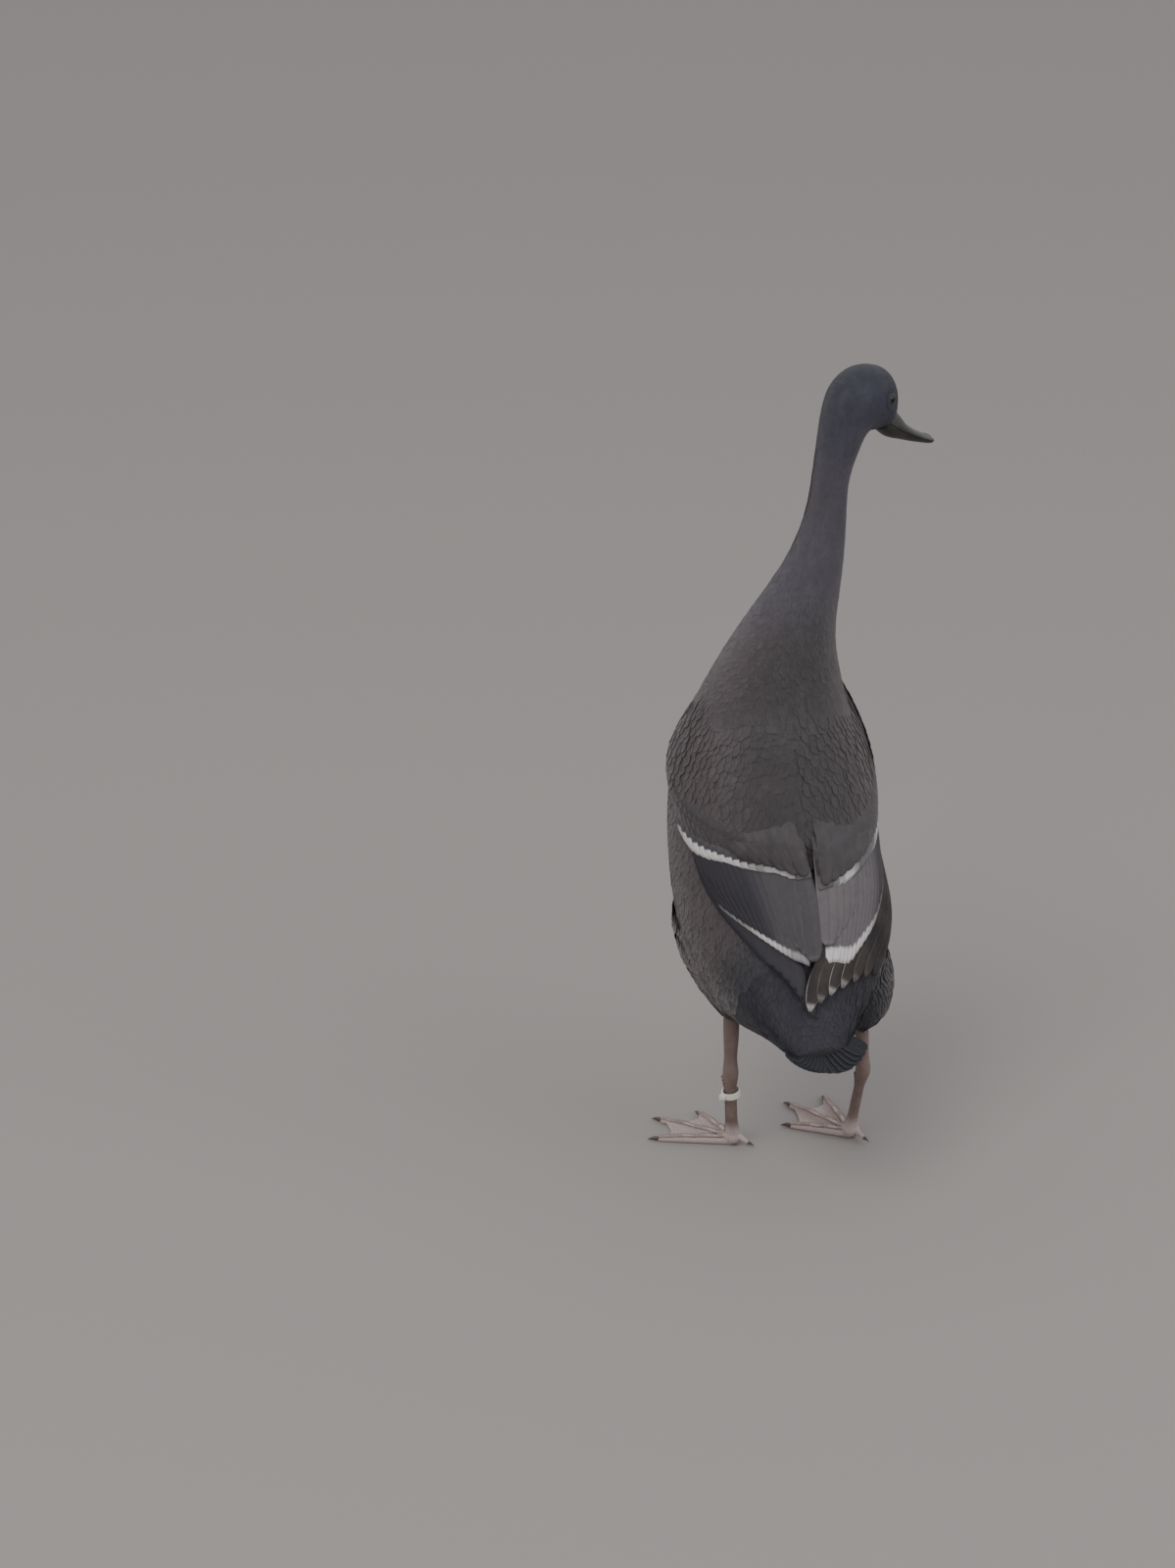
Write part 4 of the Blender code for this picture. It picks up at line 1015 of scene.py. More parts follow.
primary_finish = {
    LEFT: quill_finish("left_primaries", left_primary_paint, 0.5, 0.03, Specular_IOR_Level=0.3),
    RIGHT: quill_finish("right_primaries", right_primary_paint, 0.5, 0.02, Specular_IOR_Level=0.25),
}
ROOT_COVER = 6.5
SECONDARY_HALF, TERTIAL_HALF, GREATER_HALF, MEDIAN_HALF = 6.3, 7.2, 5.6, 4.3
SECONDARY_INNER, SECONDARY_OUTER, GREATER_TIPS = {LEFT: 14, RIGHT: 9}, 47.5, (5.5, 66)
PRIMARY_COUNT, SECONDARY_COUNT, TERTIAL_COUNT = 7, 14, 4
GREATER_COUNT, MEDIAN_COUNT, MEDIAN_ROWS, SCAPULAR_COUNT, SCAPULAR_ROOT = 18, 22, 3, 6, 178.0
PRIMARY_TIPS = {LEFT: ((19.0, 8.0), (54.0, 34.0)), RIGHT: ((23.0, 13.0), (46.0, -56.0))}
PRIMARY_LIFTS = {
    LEFT: ((1.4, 1.6, 1.8, 2.3), (1.4, 1.6, 1.9, 2.5)),
    RIGHT: ((1.4, 1.7, 2.5, 5.2), (1.4, 1.6, 1.9, 2.6)),
}
PRIMARY_WORN = {LEFT: np.full(PRIMARY_COUNT, 0.5), RIGHT: (0.0, 0.1, 0.25, 0.7, 0.9, 0.35, 1.0)}
PRIMARY_BOW = {LEFT: 6.0, RIGHT: -9.0}
PRIMARY_HALF_WIDTH = {LEFT: 6.0, RIGHT: 7.4}
# How white the ends of the greater coverts and of the secondaries are, at so many degrees from the ridge.
COVERT_WHITE = {
    LEFT: ((6, 10, 18, 23, 28, 34, 60, 67), (0.1, 0.6, 0.65, 0.3, 0.5, 1, 1, 0.5)),
    RIGHT: ((6, 11, 15, 20, 26, 42, 50, 67), (0.1, 0.3, 0.9, 0.75, 0.12, 0.15, 1, 1)),
}
SECONDARY_WHITE = {
    LEFT: ((14, 19, 25, 31, 37, 48), (0.4, 0.7, 1, 0.9, 0.4, 0.2)),
    RIGHT: ((14, 28, 33, 38, 48), (1, 1, 0.6, 0.25, 0.1)),
}
TERTIAL_EDGE = {LEFT: np.full(TERTIAL_COUNT, 0.15), RIGHT: np.full(TERTIAL_COUNT, 0.2)}
TERTIAL_SHORT = {LEFT: 3.0, RIGHT: 11.0}
ARC = 1.19


def white_bar(side, turn):
    """The tips of the greater coverts: near the ridge higher on the left wing and lower on the right."""
    if side == LEFT:
        return covert_edge(turn) + 3 + 5 * rise(turn, 8, 20) - 13 * rise(turn, 38, 68)
    return covert_edge(turn) - 7 * rise(turn, 42, 14)


def bar_show(side, turn):
    """How much of the greater coverts is left uncovered, which is more on the left wing's outer half."""
    return 9.0 + (3.0 * rise(turn, 24, 44) if side == LEFT else 0)


def pale_border(side, turn):
    """The tips of the secondaries; the right wing hangs lower in the middle."""
    return trailing_edge(turn) - (8 * rise(turn, 8, 24) * rise(turn, 52, 34) if side == RIGHT else 0)


def edge_slant(edge, side, turn, half_width):
    """How far an end's corners move to follow a curved edge; one degree is ARC mm round the back."""
    return side * (edge(side, turn + 0.5) - edge(side, turn - 0.5)) * half_width / ARC


def under_coverts(side, root):
    """Where a quill is rooted under the arm's coverts, at so many degrees from the ridge."""
    return pad_low(root) + ROOT_COVER, side * root


def tier(count, roots, tips):
    """Number, share of the row passed, and degrees round of the root and the tip, of each quill in a row."""
    return zip(range(count), np.linspace(0, 1, count), np.linspace(*roots, count), np.linspace(*tips, count))


def lifts(start, fall, share):
    return np.array(start) - np.array(fall) * share


def settle_quills(kind, places, outline, pale, finish, *nodes, **counts):
    settle(quills(kind + "_" + word, places, outline, pale, **counts), finish, "wing_feather", *nodes)


for side, word in SIDES.items():
    first, last = np.array(PRIMARY_TIPS[side])
    first_lifts, last_lifts = np.array(PRIMARY_LIFTS[side])
    places = []
    for part in np.linspace(1, 0, PRIMARY_COUNT):
        end = first * (1 - part) + last * part
        lift = first_lifts * (1 - part) + last_lifts * part + np.array((0.0, 0.1, 0.2, 0.4)) * (1 - part)
        places.append(on_trunk(under_coverts(side, 52 + 12 * part), end, PRIMARY_HALF_WIDTH[side], lift,
                               0.4, PRIMARY_BOW[side]))
    settle_quills("primaries", places, POINTED_OUTLINE, PRIMARY_WORN[side], primary_finish[side],
                  "wing_" + word, rows=44, splits=3)

    places = []
    inner = SECONDARY_INNER[side]
    for _, share, root, tip in tier(SECONDARY_COUNT, (inner + 2, 66), (inner, SECONDARY_OUTER)):
        places.append(on_trunk(
            under_coverts(side, root), (pale_border(side, tip), side * tip), SECONDARY_HALF,
            lifts((4.1, 4.0, 3.9, 3.8), (0.3, 0.8, 1.5, 1.6), share), side * 0.7,
            slant=edge_slant(pale_border, side, tip, SECONDARY_HALF)))
    white = np.interp(np.linspace(inner, SECONDARY_OUTER, SECONDARY_COUNT), *SECONDARY_WHITE[side])
    settle_quills("secondaries", places, LONG_OUTLINE, white, secondary_finish[side])

    places = []
    for number, _, root, tip in tier(TERTIAL_COUNT, (6.6, 22), (5.0, 17)):
        end = trailing_edge(tip) + TERTIAL_SHORT[side] + 3 * number
        places.append(on_trunk(under_coverts(side, root), (end, side * tip), TERTIAL_HALF,
                               np.array((4.8, 5.0, 4.9, 4.6)) - 0.25 * number, side * 0.6))
    settle_quills("tertials", places, ROUND_OUTLINE, TERTIAL_EDGE[side], tertial_finish[side])

    places = []
    for _, share, root, tip in tier(GREATER_COUNT, (6.5, 69), GREATER_TIPS):
        end = white_bar(side, tip) + dice.uniform(-0.3, 0.3)
        places.append(on_trunk(
            under_coverts(side, root), (end, side * tip), GREATER_HALF,
            lifts((6.0, 6.4, 6.4, 6.1), (0.2, 0.4, 1.0, 1.4), share), side * 0.4,
            slant=edge_slant(white_bar, side, tip, GREATER_HALF), dome=0.3))
    white = np.interp(np.linspace(*GREATER_TIPS, GREATER_COUNT), *COVERT_WHITE[side])
    settle_quills("greater_coverts", places, SQUARE_OUTLINE, white, covert_finish, rows=26, splits=1)

    places = []
    for row in range(MEDIAN_ROWS):
        for _, share, root, tip in tier(MEDIAN_COUNT, (5.5, 72), (5.0, 68)):
            start = np.array((pad_lift(pad_low(root) + 14, root) - 2.6, 7.3, 7.3, 6.9)) + 0.4 * row
            end = white_bar(side, tip) + bar_show(side, tip) + 5.5 * row + dice.uniform(-0.8, 1.2)
            aside = 1.4 * (row % 2)
            places.append(on_trunk(
                (pad_low(root) + 14 + 2 * row, side * (root + aside)), (end, side * (tip + aside)),
                MEDIAN_HALF, lifts(start, (0, 0.2, 0.9, 1.3), share), side * 0.3,
                slant=0.6 * edge_slant(white_bar, side, tip, MEDIAN_HALF), dome=0.3))
    pale = dice.uniform(0.1, 0.5, len(places))
    settle_quills("median_coverts", places, ROUND_OUTLINE, pale, shoulder_finish, rows=16, cols=5, splits=1)

    places = []
    for number, _, root, tip in tier(SCAPULAR_COUNT, (42, 8), (27, 4.6)):
        lift = np.array((pad_lift(np.array(SCAPULAR_ROOT), root) - 4.5, 7.7, 8.3, 7.7)) + 0.1 * number
        end = white_bar(side, tip) + 12 - 2.0 * number
        places.append(on_trunk((SCAPULAR_ROOT, side * root), (end, side * tip), 7.0 - 0.3 * number, lift,
                               side * 0.3, side * 2.0, dome=0.4))
    pale = dice.uniform(0.05, 0.25, SCAPULAR_COUNT)
    settle_quills("scapulars", places, POINTED_OUTLINE, pale, shoulder_finish, rows=26, cols=7)

# The tail is a short fan of stiff black feathers, the middle pair on top. Each is a thin vane on a shaft,
# and their roots are set in the end of the rump.
TAIL_COUNT = 16
TAIL_SPREAD, TAIL_LENGTH, TAIL_SHORTER, TAIL_ROOT = math.radians(34), 41.5, 3.5, 12.0
tail_root, tail_tip = (trunk_cut(np.array([at]))[0][0] for at in (KNOTS[1], KNOTS[0]))
tail_out = unit(tail_tip - tail_root)
tail_left = -unit(np.cross(UP, tail_out))
tail_top = np.cross(tail_out, tail_left)


def tail_quill(number):
    middle = (TAIL_COUNT - 1) / 2
    spread = (number - middle) / middle
    right = rise(-spread, 0.0, 0.5)
    turn = TAIL_SPREAD * spread * (1 + 0.35 * right)
    course = tail_out * math.cos(turn) + tail_left * math.sin(turn)
    across = tail_left * math.cos(turn) - tail_out * math.sin(turn)
    layer = 1.9 - 0.42 * (abs(number - middle) - 0.5) - (0.21 if number > middle else 0.0)

    def place(t, s):
        out = TAIL_ROOT + (TAIL_LENGTH - TAIL_SHORTER * spread**2 + 4.5 * right - TAIL_ROOT) * t
        lift = layer + 0.5 * (1 - s * s) + 0.35 * s * np.sign(spread) - 1.6 * t * t
        here = tail_root + course * out[:, None] + across * (7.0 * s)[:, None] + tail_top * lift[:, None]
        return here, np.tile(tail_top, (len(t), 1))

    return place


def tail_paint(made, across, along, off):
    black = (made.noise(60)).mix((0.008, 0.009, 0.012), (0.018, 0.020, 0.028))
    return (off.rise(0.85, 1.0) * 0.25).mix(black, (0.05, 0.047, 0.052))


tail_finish = quill_finish("tail_feathers", tail_paint, 0.55, 0.06, Specular_IOR_Level=0.3)
order = sorted(range(TAIL_COUNT), key=lambda number: -abs(number - (TAIL_COUNT - 1) / 2))
made = quills("tail_fan", [tail_quill(number) for number in order], FAN_OUTLINE, np.zeros(TAIL_COUNT))
settle(made, tail_finish, "black_feather", "tail")

# The bill is smooth horn in two halves. The upper is broad and flat at its end, with a hard nail at the
# tip and a slit nostril on each side, and its edge hides the comb of plates that strains the food.
head_ahead = np.array((-math.sin(HEAD_YAW), -math.cos(HEAD_YAW), 0.0))
head_left = np.array((math.cos(HEAD_YAW), -math.sin(HEAD_YAW), 0.0))
BILL_PITCH = math.radians(33)
bill_out = head_ahead * math.cos(BILL_PITCH) - UP * math.sin(BILL_PITCH)
bill_up = head_ahead * math.sin(BILL_PITCH) + UP * math.cos(BILL_PITCH)
# How far out, the half width, the height over the mouth line and the depth under it.
BILL_ROWS = np.array((
    (0.0, 9.7, 12.8, 5.2), (5.7, 9.3, 11.4, 6.4), (13.0, 8.7, 8.6, 6.4), (22.5, 8.6, 5.8, 4.9),
    (34.0, 9.5, 4.2, 3.6), (43.0, 10.3, 3.6, 2.6), (49.5, 9.4, 3.1, 2.0), (53.5, 6.8, 2.5, 1.5),
    (56.0, 2.6, 1.4, 0.9)))
BILL_LENGTH = BILL_ROWS[-1, 0]
bill_bends = bends_through(BILL_ROWS[:, 0], BILL_ROWS)
MOUTH_DROP, MOUTH_RISE, MOUTH_SAG, MOUTH_GAP = 4.2, 6.0, 0.8, 0.35
NOSTRIL_OUT, NOSTRIL_TURN, NOSTRIL_DEEP, NAIL_OUT = 13.0, math.radians(52), 1.9, 52.5
COMB_FROM, COMB_TO, COMB_STEP = 8.0, 50.0, 1.05
bill_base, base_up = (v[0] for v in trunk_cut(np.array([BILL_BASE]))[:2])
base_up = unit(base_up)


def bill_middle(out):
    """Centre of the mouth line and the upward direction there; the first 6 mm turn into the head."""
    share = rise(out, -2.0, 6.0)
    up = unit(base_up * (1 - share) + bill_up * share)
    lift = MOUTH_RISE * (max(out, 0) / BILL_LENGTH) ** 2 - MOUTH_DROP
    return bill_base + bill_out * out + up * lift, up


def bill_half(name, upper, last):
    rings = []
    for out in np.concatenate([[-1.5], np.linspace(0, last, 100)]):
        row = read_spline(BILL_ROWS[:, 0], BILL_ROWS, bill_bends, np.array([max(out, 0.0)]))[0]
        centre, up = bill_middle(out)
        turn = round_turn(56)
        x, y = row[1] * np.cos(turn), np.sin(turn)
        if upper:
            x = np.where(y > 0, np.sign(x) * np.abs(x) * (1 - 0.10 * y**2), x)
            rise_by = np.where(y > 0, row[2] * y, MOUTH_SAG * y)
        else:
            x = x * 0.95
            rise_by = np.where(y > 0, -MOUTH_SAG * y, (MOUTH_SAG + row[3]) * y) - MOUTH_GAP
        rings.append(centre + head_left * x[:, None] + up * rise_by[:, None])
    rings = np.array(rings)
    if upper:
        for side in SIDES:
            centre, up = bill_middle(NOSTRIL_OUT)
            aside, above = head_left * side * math.cos(NOSTRIL_TURN), up * math.sin(NOSTRIL_TURN)
            spot = centre + aside * 8.7 * 0.94 + above * 8.6
            inward = -unit(aside + above)
            away = rings - spot
            x, z = away @ bill_out, away @ np.cross(bill_out, inward)
            dent = np.exp(-((x / 3.1) ** 2 + (z / 1.15) ** 2) ** 2) * (np.linalg.norm(away, axis=2) < 6)
            rings = rings + inward * (dent * NOSTRIL_DEEP)[..., None]
            lip = np.exp(-(((x / 4.4) ** 2 + (z / 2.2) ** 2 - 0.8) / 0.5) ** 2)
            lip *= np.linalg.norm(away, axis=2) < 7
            rings = rings - inward * (lip * 0.28)[..., None]
        centre, up = bill_middle(NAIL_OUT)
        away = rings - centre
        x, z = away @ bill_out, away @ head_left
        nail = rise((x / 3.6) ** 2 + (z / 3.3) ** 2, 1.25, 0.75) * (away @ up > 0.3)
        rings = rings + up * (nail * 0.55)[..., None]
    return tube(name, rings)


def horn_finish(name, tone, dark):
    made = Finish(name, Specular_IOR_Level=0.3, Coat_Weight=0.05, Coat_Roughness=0.3)
    spot = made.make("ShaderNodeVectorMath", {0: made.place(), 1: tuple(world(bill_base))},
                     operation="SUBTRACT")
    out = made.make("ShaderNodeVectorMath", {0: spot, 1: tuple(bill_out)}, "Value",
                    operation="DOT_PRODUCT") * 1000.0
    cloud, pores = made.noise(110, 4.0), made.noise(1900, 2.0)
    tip = (out + (cloud - 0.5) * 14.0).rise(40.0, 52.0)
    colour = cloud.rise(0.3, 0.75).mix(tone, tuple(c * 0.62 for c in tone))
    made.feed(Base_Color=tip.mix(colour, dark), Roughness=0.34 + pores * 0.16,
              Normal=made.bump(pores * 0.5 + cloud, 0.18, 0.6))
    return made


upper_horn = horn_finish("upper_bill_horn", (0.050, 0.050, 0.041), (0.030, 0.028, 0.027))
lower_horn = horn_finish("lower_bill_horn", (0.034, 0.033, 0.029), (0.022, 0.021, 0.020))
settle(bill_half("bill_upper_horn", True, BILL_LENGTH), upper_horn, "bill_horn", "bill_upper")
settle(bill_half("bill_lower_horn", False, 53.5), lower_horn, "bill_horn", "bill_lower")


def comb_plate():
    points = [(x * grow, y, z) for z, grow in ((0, 1.0), (1, 0.4))
              for x, y in ((-0.5, -0.5), (0.5, -0.5), (0.5, 0.5), (-0.5, 0.5))]
    faces = [(3, 2, 1, 0), (4, 5, 6, 7), (0, 1, 5, 4), (1, 2, 6, 5), (2, 3, 7, 6), (3, 0, 4, 7)]
    return unit_shape("comb_plate", points, faces, [(x + 0.5, z) for x, y, z in points])


place, lie = [], []
for out in np.arange(COMB_FROM, COMB_TO, COMB_STEP):
    row = read_spline(BILL_ROWS[:, 0], BILL_ROWS, bill_bends, np.array([out]))[0]
    centre, up = bill_middle(out)
    for side in SIDES:
        place.append(centre + head_left * side * (row[1] * 0.955) - up * 0.05)
        lie.append(bill_out)
count = len(place)
plots = {"place": world(place), "out": np.tile(-bill_up, (count, 1)), "lie": np.array(lie),
         "size": np.tile((0.9 * MM, 0.45 * MM, 0.75 * MM), (count, 1)),
         "tint": np.tile((0.09, 0.085, 0.06), (count, 1)), "edging": np.zeros(count),
         "root": np.column_stack([np.linspace(0.05, 0.95, count), np.full(count, 0.5)])}
comb_shape = comb_plate()
settle_rows("bill_comb", comb_shape, plots, lower_horn, "bill_horn")

# The legs are bare and scaled, a dull brownish pink. Broad plates run down the front of each shank and
# over the toes, and the rest is a fine net of scales. The toes are joined by a thin web.
SHANKS = {
    LEFT: np.array((
        (33, 22, 116, 5.7, 6.0), (33.3, 22.6, 105, 5.7, 6.0), (34, 24.5, 86, 5.3, 5.6),
        (35, 27, 72, 4.9, 5.3), (35.2, 28, 65.5, 5.6, 6.3), (35, 27.5, 59.5, 5.3, 5.9),
        (34, 25.8, 52, 4.3, 4.9), (32, 22.5, 33, 4.0, 4.6), (30.4, 20, 18, 4.4, 4.9),
        (29.6, 18.8, 11, 5.2, 5.6), (29.3, 18.4, 6, 5.0, 5.4))),
    RIGHT: np.array((
        (-57, 43, 104, 5.2, 5.6), (-57, 44.2, 93, 5.2, 5.6), (-57.3, 46.5, 83, 4.6, 5.1),
        (-57.4, 48.5, 71, 4.3, 4.8), (-57.2, 49.5, 64.5, 5.2, 6.0), (-57, 49, 58.5, 5.0, 5.6),
        (-56.6, 47, 51, 3.8, 4.4), (-56, 42, 33, 3.5, 4.1), (-55.4, 37.8, 18, 3.9, 4.4),
        (-55.1, 36.2, 11, 5.0, 5.4), (-55.0, 35.6, 6, 5.0, 5.4))),
}
ANKLE = {LEFT: np.array((29.3, 18.4, 0.0)), RIGHT: np.array((-55.0, 35.6, 0.0))}
FOOT_HEADING = {LEFT: math.radians(41), RIGHT: math.radians(26)}
TOES = (("outer", 27, 54), ("middle", 0, 60), ("inner", -29, 45))
TOE_RADII = ((0.0, 4.4), (0.2, 3.5), (0.38, 3.7), (0.5, 3.1), (0.66, 3.3), (0.8, 2.7), (1.0, 2.3))
HIND_TOE = 13
WEB_TOP = ((0.12, 3.8), (0.45, 2.9), (0.8, 2.3), (1.0, 2.0))


def toward(heading):
    return np.array((math.sin(heading), -math.cos(heading), 0.0))


def shank_at(side, height):
    """Middle and half sizes of the shank at a height."""
    rows = SHANKS[side][::-1]
    return read_spline(rows[:, 2], rows, bends_through(rows[:, 2], rows), np.atleast_1d(float(height)))[0]


def toe_radius(t):
    return np.interp(t, *zip(*TOE_RADII))


def foot_parts(side):
    heading, start = FOOT_HEADING[side], ANKLE[side]
    turn = round_turn(20)[:, None]
    parts = []
    spokes = []
    for _, splay, length in TOES:
        ahead = toward(heading + side * math.radians(splay))
        across = np.cross(UP, ahead)
        rings = []
        for t in np.linspace(0, 1, 24):
            radius = toe_radius(t) * (1.0 if t < 1 else 0.6)
            ring = start + ahead * length * t + UP * radius * 0.75
            ring = ring + (across * np.cos(turn) + UP * np.sin(turn)) * radius
            ring[:, 2] = np.maximum(ring[:, 2], 0.0)
            rings.append(ring)
        parts.append(tube("toe", rings))
        spokes.append((heading + side * math.radians(splay), length))
    for (from_way, from_length), (to_way, to_length) in zip(spokes, spokes[1:]):
        top, bottom = [], []
        for u in np.linspace(0, 1, 22):
            way = toward(from_way * (1 - u) + to_way * u)
            reach = (from_length * (1 - u) + to_length * u) * (0.93 - 0.12 * math.sin(math.pi * u))
            t = np.linspace(0.12, 1, 26)
            fold = 0.25 * np.sin(u * math.pi * 5) * np.sin(t * math.pi)
            height = np.interp(t, *zip(*WEB_TOP)) + fold - 0.5 * math.sin(math.pi * u) * t
            flat = start + way * (reach * t)[:, None]
            top.append(flat + UP * height[:, None])
            bottom.append(flat + UP * 0.5)
        parts.append(sheet("web", np.array(top), np.array(bottom)))
    parts.append(ellipsoid("ankle", start + UP * 6.4, np.eye(3), (6.3, 6.3, 6.2)))
    back = -toward(heading)
    across = np.cross(UP, back)
    rings = []
    for t in np.linspace(0, 1, 14):
        radius = np.interp(t, (0, 0.5, 1), (2.6, 2.3, 1.7))
        rings.append(start + back * HIND_TOE * t + UP * np.interp(t, (0, 0.5, 1), (8.5, 7.0, 4.4))
                     + (across * np.cos(turn) + UP * np.sin(turn)) * radius)
    parts.append(tube("hind_toe", rings))
    rings = []
    for z in np.linspace(SHANKS[side][-1, 2], SHANKS[side][0, 2], 60):
        x, y, height, half_x, half_y = shank_at(side, z)
        flat = np.hstack([half_x * np.cos(turn), half_y * np.sin(turn), 0 * turn])
        rings.append(np.array((x, y, z)) + flat)
    parts.append(tube("shank", rings))
    return parts


leg_skin = Finish("leg_skin", Subsurface_Weight=0.06, Subsurface_Scale=0.003, Coat_Weight=0.05,
                  Coat_Roughness=0.4)
cells = leg_skin.make("ShaderNodeTexVoronoi", {"Vector": leg_skin.place(), "Scale": 1150.0},
                      feature="DISTANCE_TO_EDGE")
small = leg_skin.noise(60, 4.0)
grime = leg_skin.noise(23, 3.0).rise(0.45, 0.75)
ridge = cells.rise(0.0, 0.12)
flesh_tone = small.rise(0.3, 0.7).mix((0.150, 0.104, 0.090), (0.235, 0.165, 0.145))
flesh_tone = (grime * 0.55).mix(flesh_tone, (0.095, 0.072, 0.062))
height = leg_skin.make("ShaderNodeVectorMath", {0: leg_skin.place(), 1: (0.0, 0.0, 1.0)}, "Value",
                       operation="DOT_PRODUCT")
# Below about 22 mm up, on the toes and web, the skin is painted much paler and pinker. This is partly the
# feet's own colour and partly a painted highlight where the top of the web catches the sky.
flesh_tone = (height.rise(0.022, 0.011) * 0.8).mix(flesh_tone, (0.52, 0.43, 0.41))
leg_skin.feed(Base_Color=((1 - ridge) * 0.5).mix(flesh_tone, (0.085, 0.060, 0.052)),
              Roughness=0.50 + small * 0.2,
              Normal=leg_skin.bump(ridge + small * 0.3, 0.22, 0.8))
plate_skin = Finish("leg_plates", Coat_Weight=0.08, Coat_Roughness=0.35)
small = plate_skin.noise(90, 4.0)
across, along = plate_skin.vane()
plate_tone = small.rise(0.3, 0.7).mix((0.170, 0.120, 0.104), (0.260, 0.190, 0.165))
plate_tone = along.rise(0.75, 1.0).mix(plate_tone, (0.30, 0.24, 0.215))
plate_skin.feed(Base_Color=plate_tone, Roughness=0.42 + small * 0.2, Normal=plate_skin.bump(small, 0.15, 0.6))


def scute():
    """A low plate of unit size that rises to its free edge at +Y."""
    points, spots = [], []
    for t in (0.0, 0.4, 0.8, 1.0):
        half = (0.42, 0.5, 0.47, 0.36)[len(points) // 5]
        for s in (-1, -0.55, 0, 0.55, 1):
            high = (0.15 + 0.85 * min(1, t / 0.8)) * (1 - s * s) * (0.55 if t == 1.0 else 1.0)
            points.append((s * half, t, high))
            spots.append((s * 0.5 + 0.5, t))
    faces = []
    for i in range(3):
        for j in range(4):
            a = 5 * i + j
            faces.append((a, a + 1, a + 6, a + 5))
        faces.append((5 * i, 5 * i + 5, 5 * i + 9, 5 * i + 4))
    faces += [(4, 3, 2, 1, 0), (15, 16, 17, 18, 19)]
    return unit_shape("scute", points, faces, spots)


def claw(name, start, ahead, radius, length, drop):
    across = np.cross(UP, ahead)
    turn = round_turn(16)[:, None]
    rings = []
    for t in np.linspace(-0.12, 1, 16):
        size = radius * (1 - 0.92 * max(t, 0) ** 1.4)
        middle = start + ahead * length * t - UP * (drop * t * t - 0.25 * math.sin(math.pi * max(t, 0)))
        rings.append(middle + (across * np.cos(turn) * 0.85 + UP * np.sin(turn)) * size)
    return tube(name, rings)


scute_shape = scute()
claw_horn = Finish("claw_horn", Coat_Weight=0.1, Coat_Roughness=0.3)
streak = claw_horn.noise(400, 3.0)
claw_horn.feed(Base_Color=streak.mix((0.030, 0.024, 0.020), (0.085, 0.070, 0.058)),
               Roughness=0.35 + streak * 0.2)
for side, word in SIDES.items():
    foot = fused("foot_skin_" + word, foot_parts(side), grain=0.75, rounds=3)
    settle(foot, leg_skin, "leg_skin", "foot_" + word, "shank_" + word)
    heading, start = FOOT_HEADING[side], ANKLE[side]
    place, out, lie, size = [], [], [], []
    for name, splay, length in TOES:
        ahead = toward(heading + side * math.radians(splay))
        for at in np.arange(0.10, 0.97, 2.5 / length):
            radius = toe_radius(at)
            place.append(start + ahead * length * at + UP * (radius * 1.75 - 0.35))
            out.append(UP)
            lie.append(ahead)
            size.append((radius * 1.7, 3.0, 0.3))
        claw_start = start + ahead * length + UP * 2.0
        piece = claw("claw_" + name + "_horn_" + word, claw_start, ahead, 1.75, 7.2, 1.2)
        settle(piece, claw_horn, "claw_horn", "claw_" + name + "_" + word)
    back = -toward(heading)
    piece = claw("claw_hind_horn_" + word, start + UP * 4.2 + back * HIND_TOE, back, 1.35, 4.7, 1.6)
    settle(piece, claw_horn, "claw_horn", "claw_hind_" + word)
    front = toward(heading * 0.6)
    for z in np.arange(13.0, SHANKS[side][4, 2] - 3, 2.7):
        x, y, height, half_x, half_y = shank_at(side, z)
        place.append(np.array((x, y, z)) + front * (half_y - 0.9))
        out.append(front)
        lie.append(-UP)
        size.append((half_x * 1.6, 3.2, 0.28))
    count = len(place)
    plots = {"place": world(place), "out": np.array(out), "lie": np.array(lie), "size": np.array(size) * MM,
             "tint": np.ones((count, 3)), "edging": np.zeros(count),
             "root": np.column_stack([np.linspace(0.05, 0.95, count), np.full(count, 0.5)])}
    settle_rows("leg_plates_" + word, scute_shape, plots, plate_skin, "leg_skin", (0.03, 0.03, 0.05),
                40 + side)

# The leg band is a loose ring of off-white plastic with a small tab, moulded in one piece. It hangs
# tilted on the left shank, with a small gap all round.
BAND_INNER, BAND_OUTER, BAND_HEIGHT, BAND_TILT = 5.6, 6.8, 5.0, math.radians(10)
upper_row, lower_row = SHANKS[LEFT][6], SHANKS[LEFT][7]
band_centre = (upper_row * 0.65 + lower_row * 0.35)[:3]
band_up = np.array((math.sin(BAND_TILT), 0.0, math.cos(BAND_TILT)))
band_side = np.array((math.cos(BAND_TILT), 0.0, -math.sin(BAND_TILT)))
band_back = np.cross(band_up, band_side)
rings = []
corner = round_turn(24)
flat_out = np.sign(np.cos(corner)) * np.abs(np.cos(corner)) ** 0.35 * (BAND_OUTER - BAND_INNER) / 2
flat_up = np.sign(np.sin(corner)) * np.abs(np.sin(corner)) ** 0.35 * BAND_HEIGHT / 2
for turn in round_turn(72):
    spoke = band_side * math.cos(turn) + band_back * math.sin(turn)
    far = (BAND_INNER + BAND_OUTER) / 2 + flat_out
    rings.append(band_centre + spoke * far[:, None] + band_up * flat_up[:, None])
band = tube("plastic_band", rings, ends=False)
TAB_TURN = math.radians(18)
tab_way = band_side * math.cos(TAB_TURN) + band_back * math.sin(TAB_TURN)
tab_place = band_centre + tab_way * (BAND_OUTER + 1.2)
tab = ellipsoid("tab", tab_place, (band_side, band_back, band_up), (2.6, 2.8, 3.0))
shape = bmesh.new()
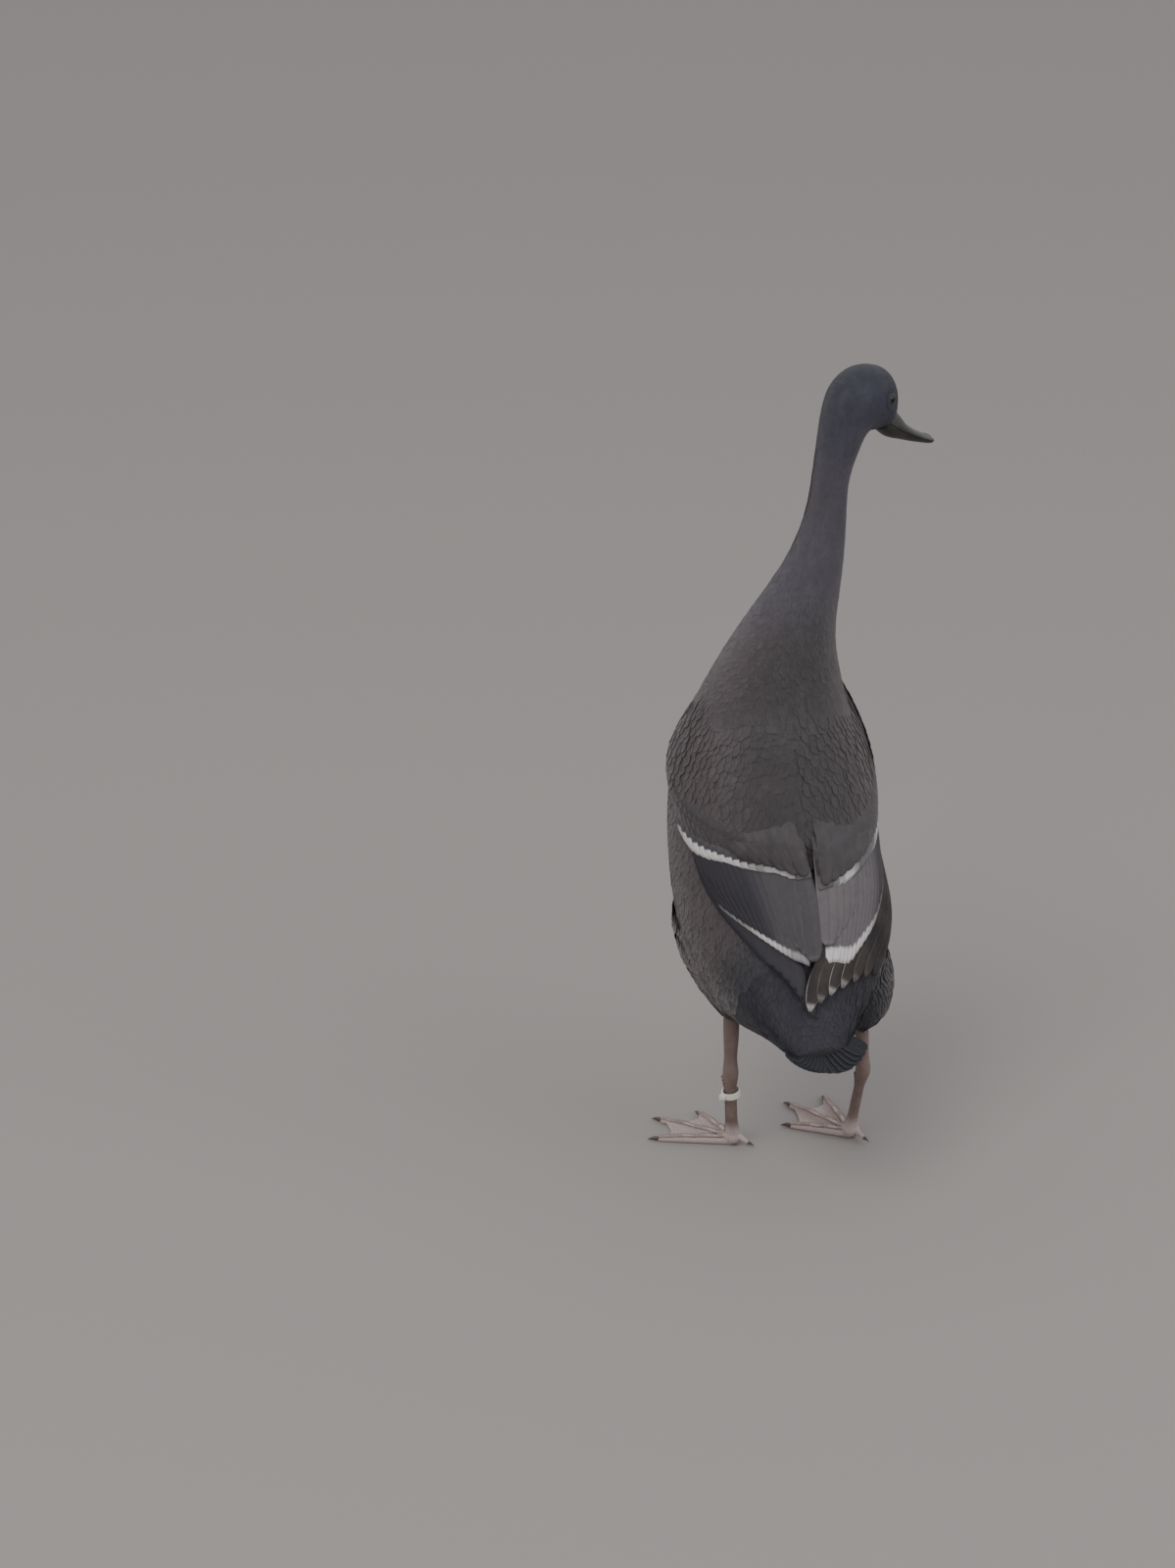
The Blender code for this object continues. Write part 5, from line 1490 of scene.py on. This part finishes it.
for part in (band, tab):
    shape.from_mesh(part.data)
shape.to_mesh(band.data)
shape.free()
bpy.data.objects.remove(tab)
band_plastic = Finish("band_plastic", Subsurface_Weight=0.08, Subsurface_Scale=0.002, Coat_Weight=0.1)
dirt = band_plastic.noise(240, 5.0)
band_plastic.feed(Base_Color=dirt.rise(0.48, 0.8).mix((0.62, 0.60, 0.555), (0.30, 0.26, 0.21)),
                  Roughness=0.36 + dirt * 0.3, Normal=band_plastic.bump(dirt, 0.1, 0.5))
settle(band, band_plastic, "band_plastic", "leg_band")

for helper in (BODY_FEATHER, FACE_FEATHER, comb_shape, scute_shape):
    bpy.data.objects.remove(helper)

# The setting for the picture: a plain pale floor, a pale sky and two large soft lights, with the camera
# where the photograph was taken from.
mesh = bpy.data.meshes.new("floor")
mesh.from_pydata([(-9, -9, 0), (9, -9, 0), (9, 9, 0), (-9, 9, 0)], [], [(0, 1, 2, 3)])
floor = linked("floor", mesh)
floor_finish = Finish("pale_floor", Base_Color=(0.255, 0.240, 0.230, 1.0), Roughness=0.85)
mesh.materials.append(floor_finish.material)
sky = bpy.data.worlds.new("sky")
sky.use_nodes = True
sky.node_tree.nodes["Background"].inputs["Color"].default_value = (0.985, 0.975, 1.0, 1.0)
sky.node_tree.nodes["Background"].inputs["Strength"].default_value = 0.85
bpy.context.scene.world = sky


def lamp(name, place, size, power, colour):
    light = bpy.data.lights.new(name, "AREA")
    light.size = size
    light.energy = power
    light.color = colour
    made = linked(name, light)
    made.location = place
    made.rotation_euler = (Vector((0, 0, 0.28)) - Vector(place)).to_track_quat("-Z", "Y").to_euler()


lamp("key", (1.7, 1.2, 2.9), 1.8, 54, (1.0, 0.97, 0.94))
lamp("fill", (-1.9, 1.8, 1.8), 2.4, 26, (0.98, 0.98, 1.0))
VIEW_TURN, VIEW_RISE, VIEW_PLACE, LENS = math.radians(162), math.radians(24.6), (0.887, 2.321, 1.408), 90
view_flat = math.cos(VIEW_RISE)
view_back = Vector((math.sin(VIEW_TURN) * view_flat, -math.cos(VIEW_TURN) * view_flat, math.sin(VIEW_RISE)))
camera = linked("camera", bpy.data.cameras.new("camera"))
camera.data.sensor_fit = "VERTICAL"
camera.data.sensor_height = 36
camera.data.lens = LENS
camera.location = Vector(VIEW_PLACE) - Vector(PLACE * MM)
camera.rotation_euler = (-view_back).to_track_quat("-Z", "Y").to_euler()
bpy.context.scene.camera = camera
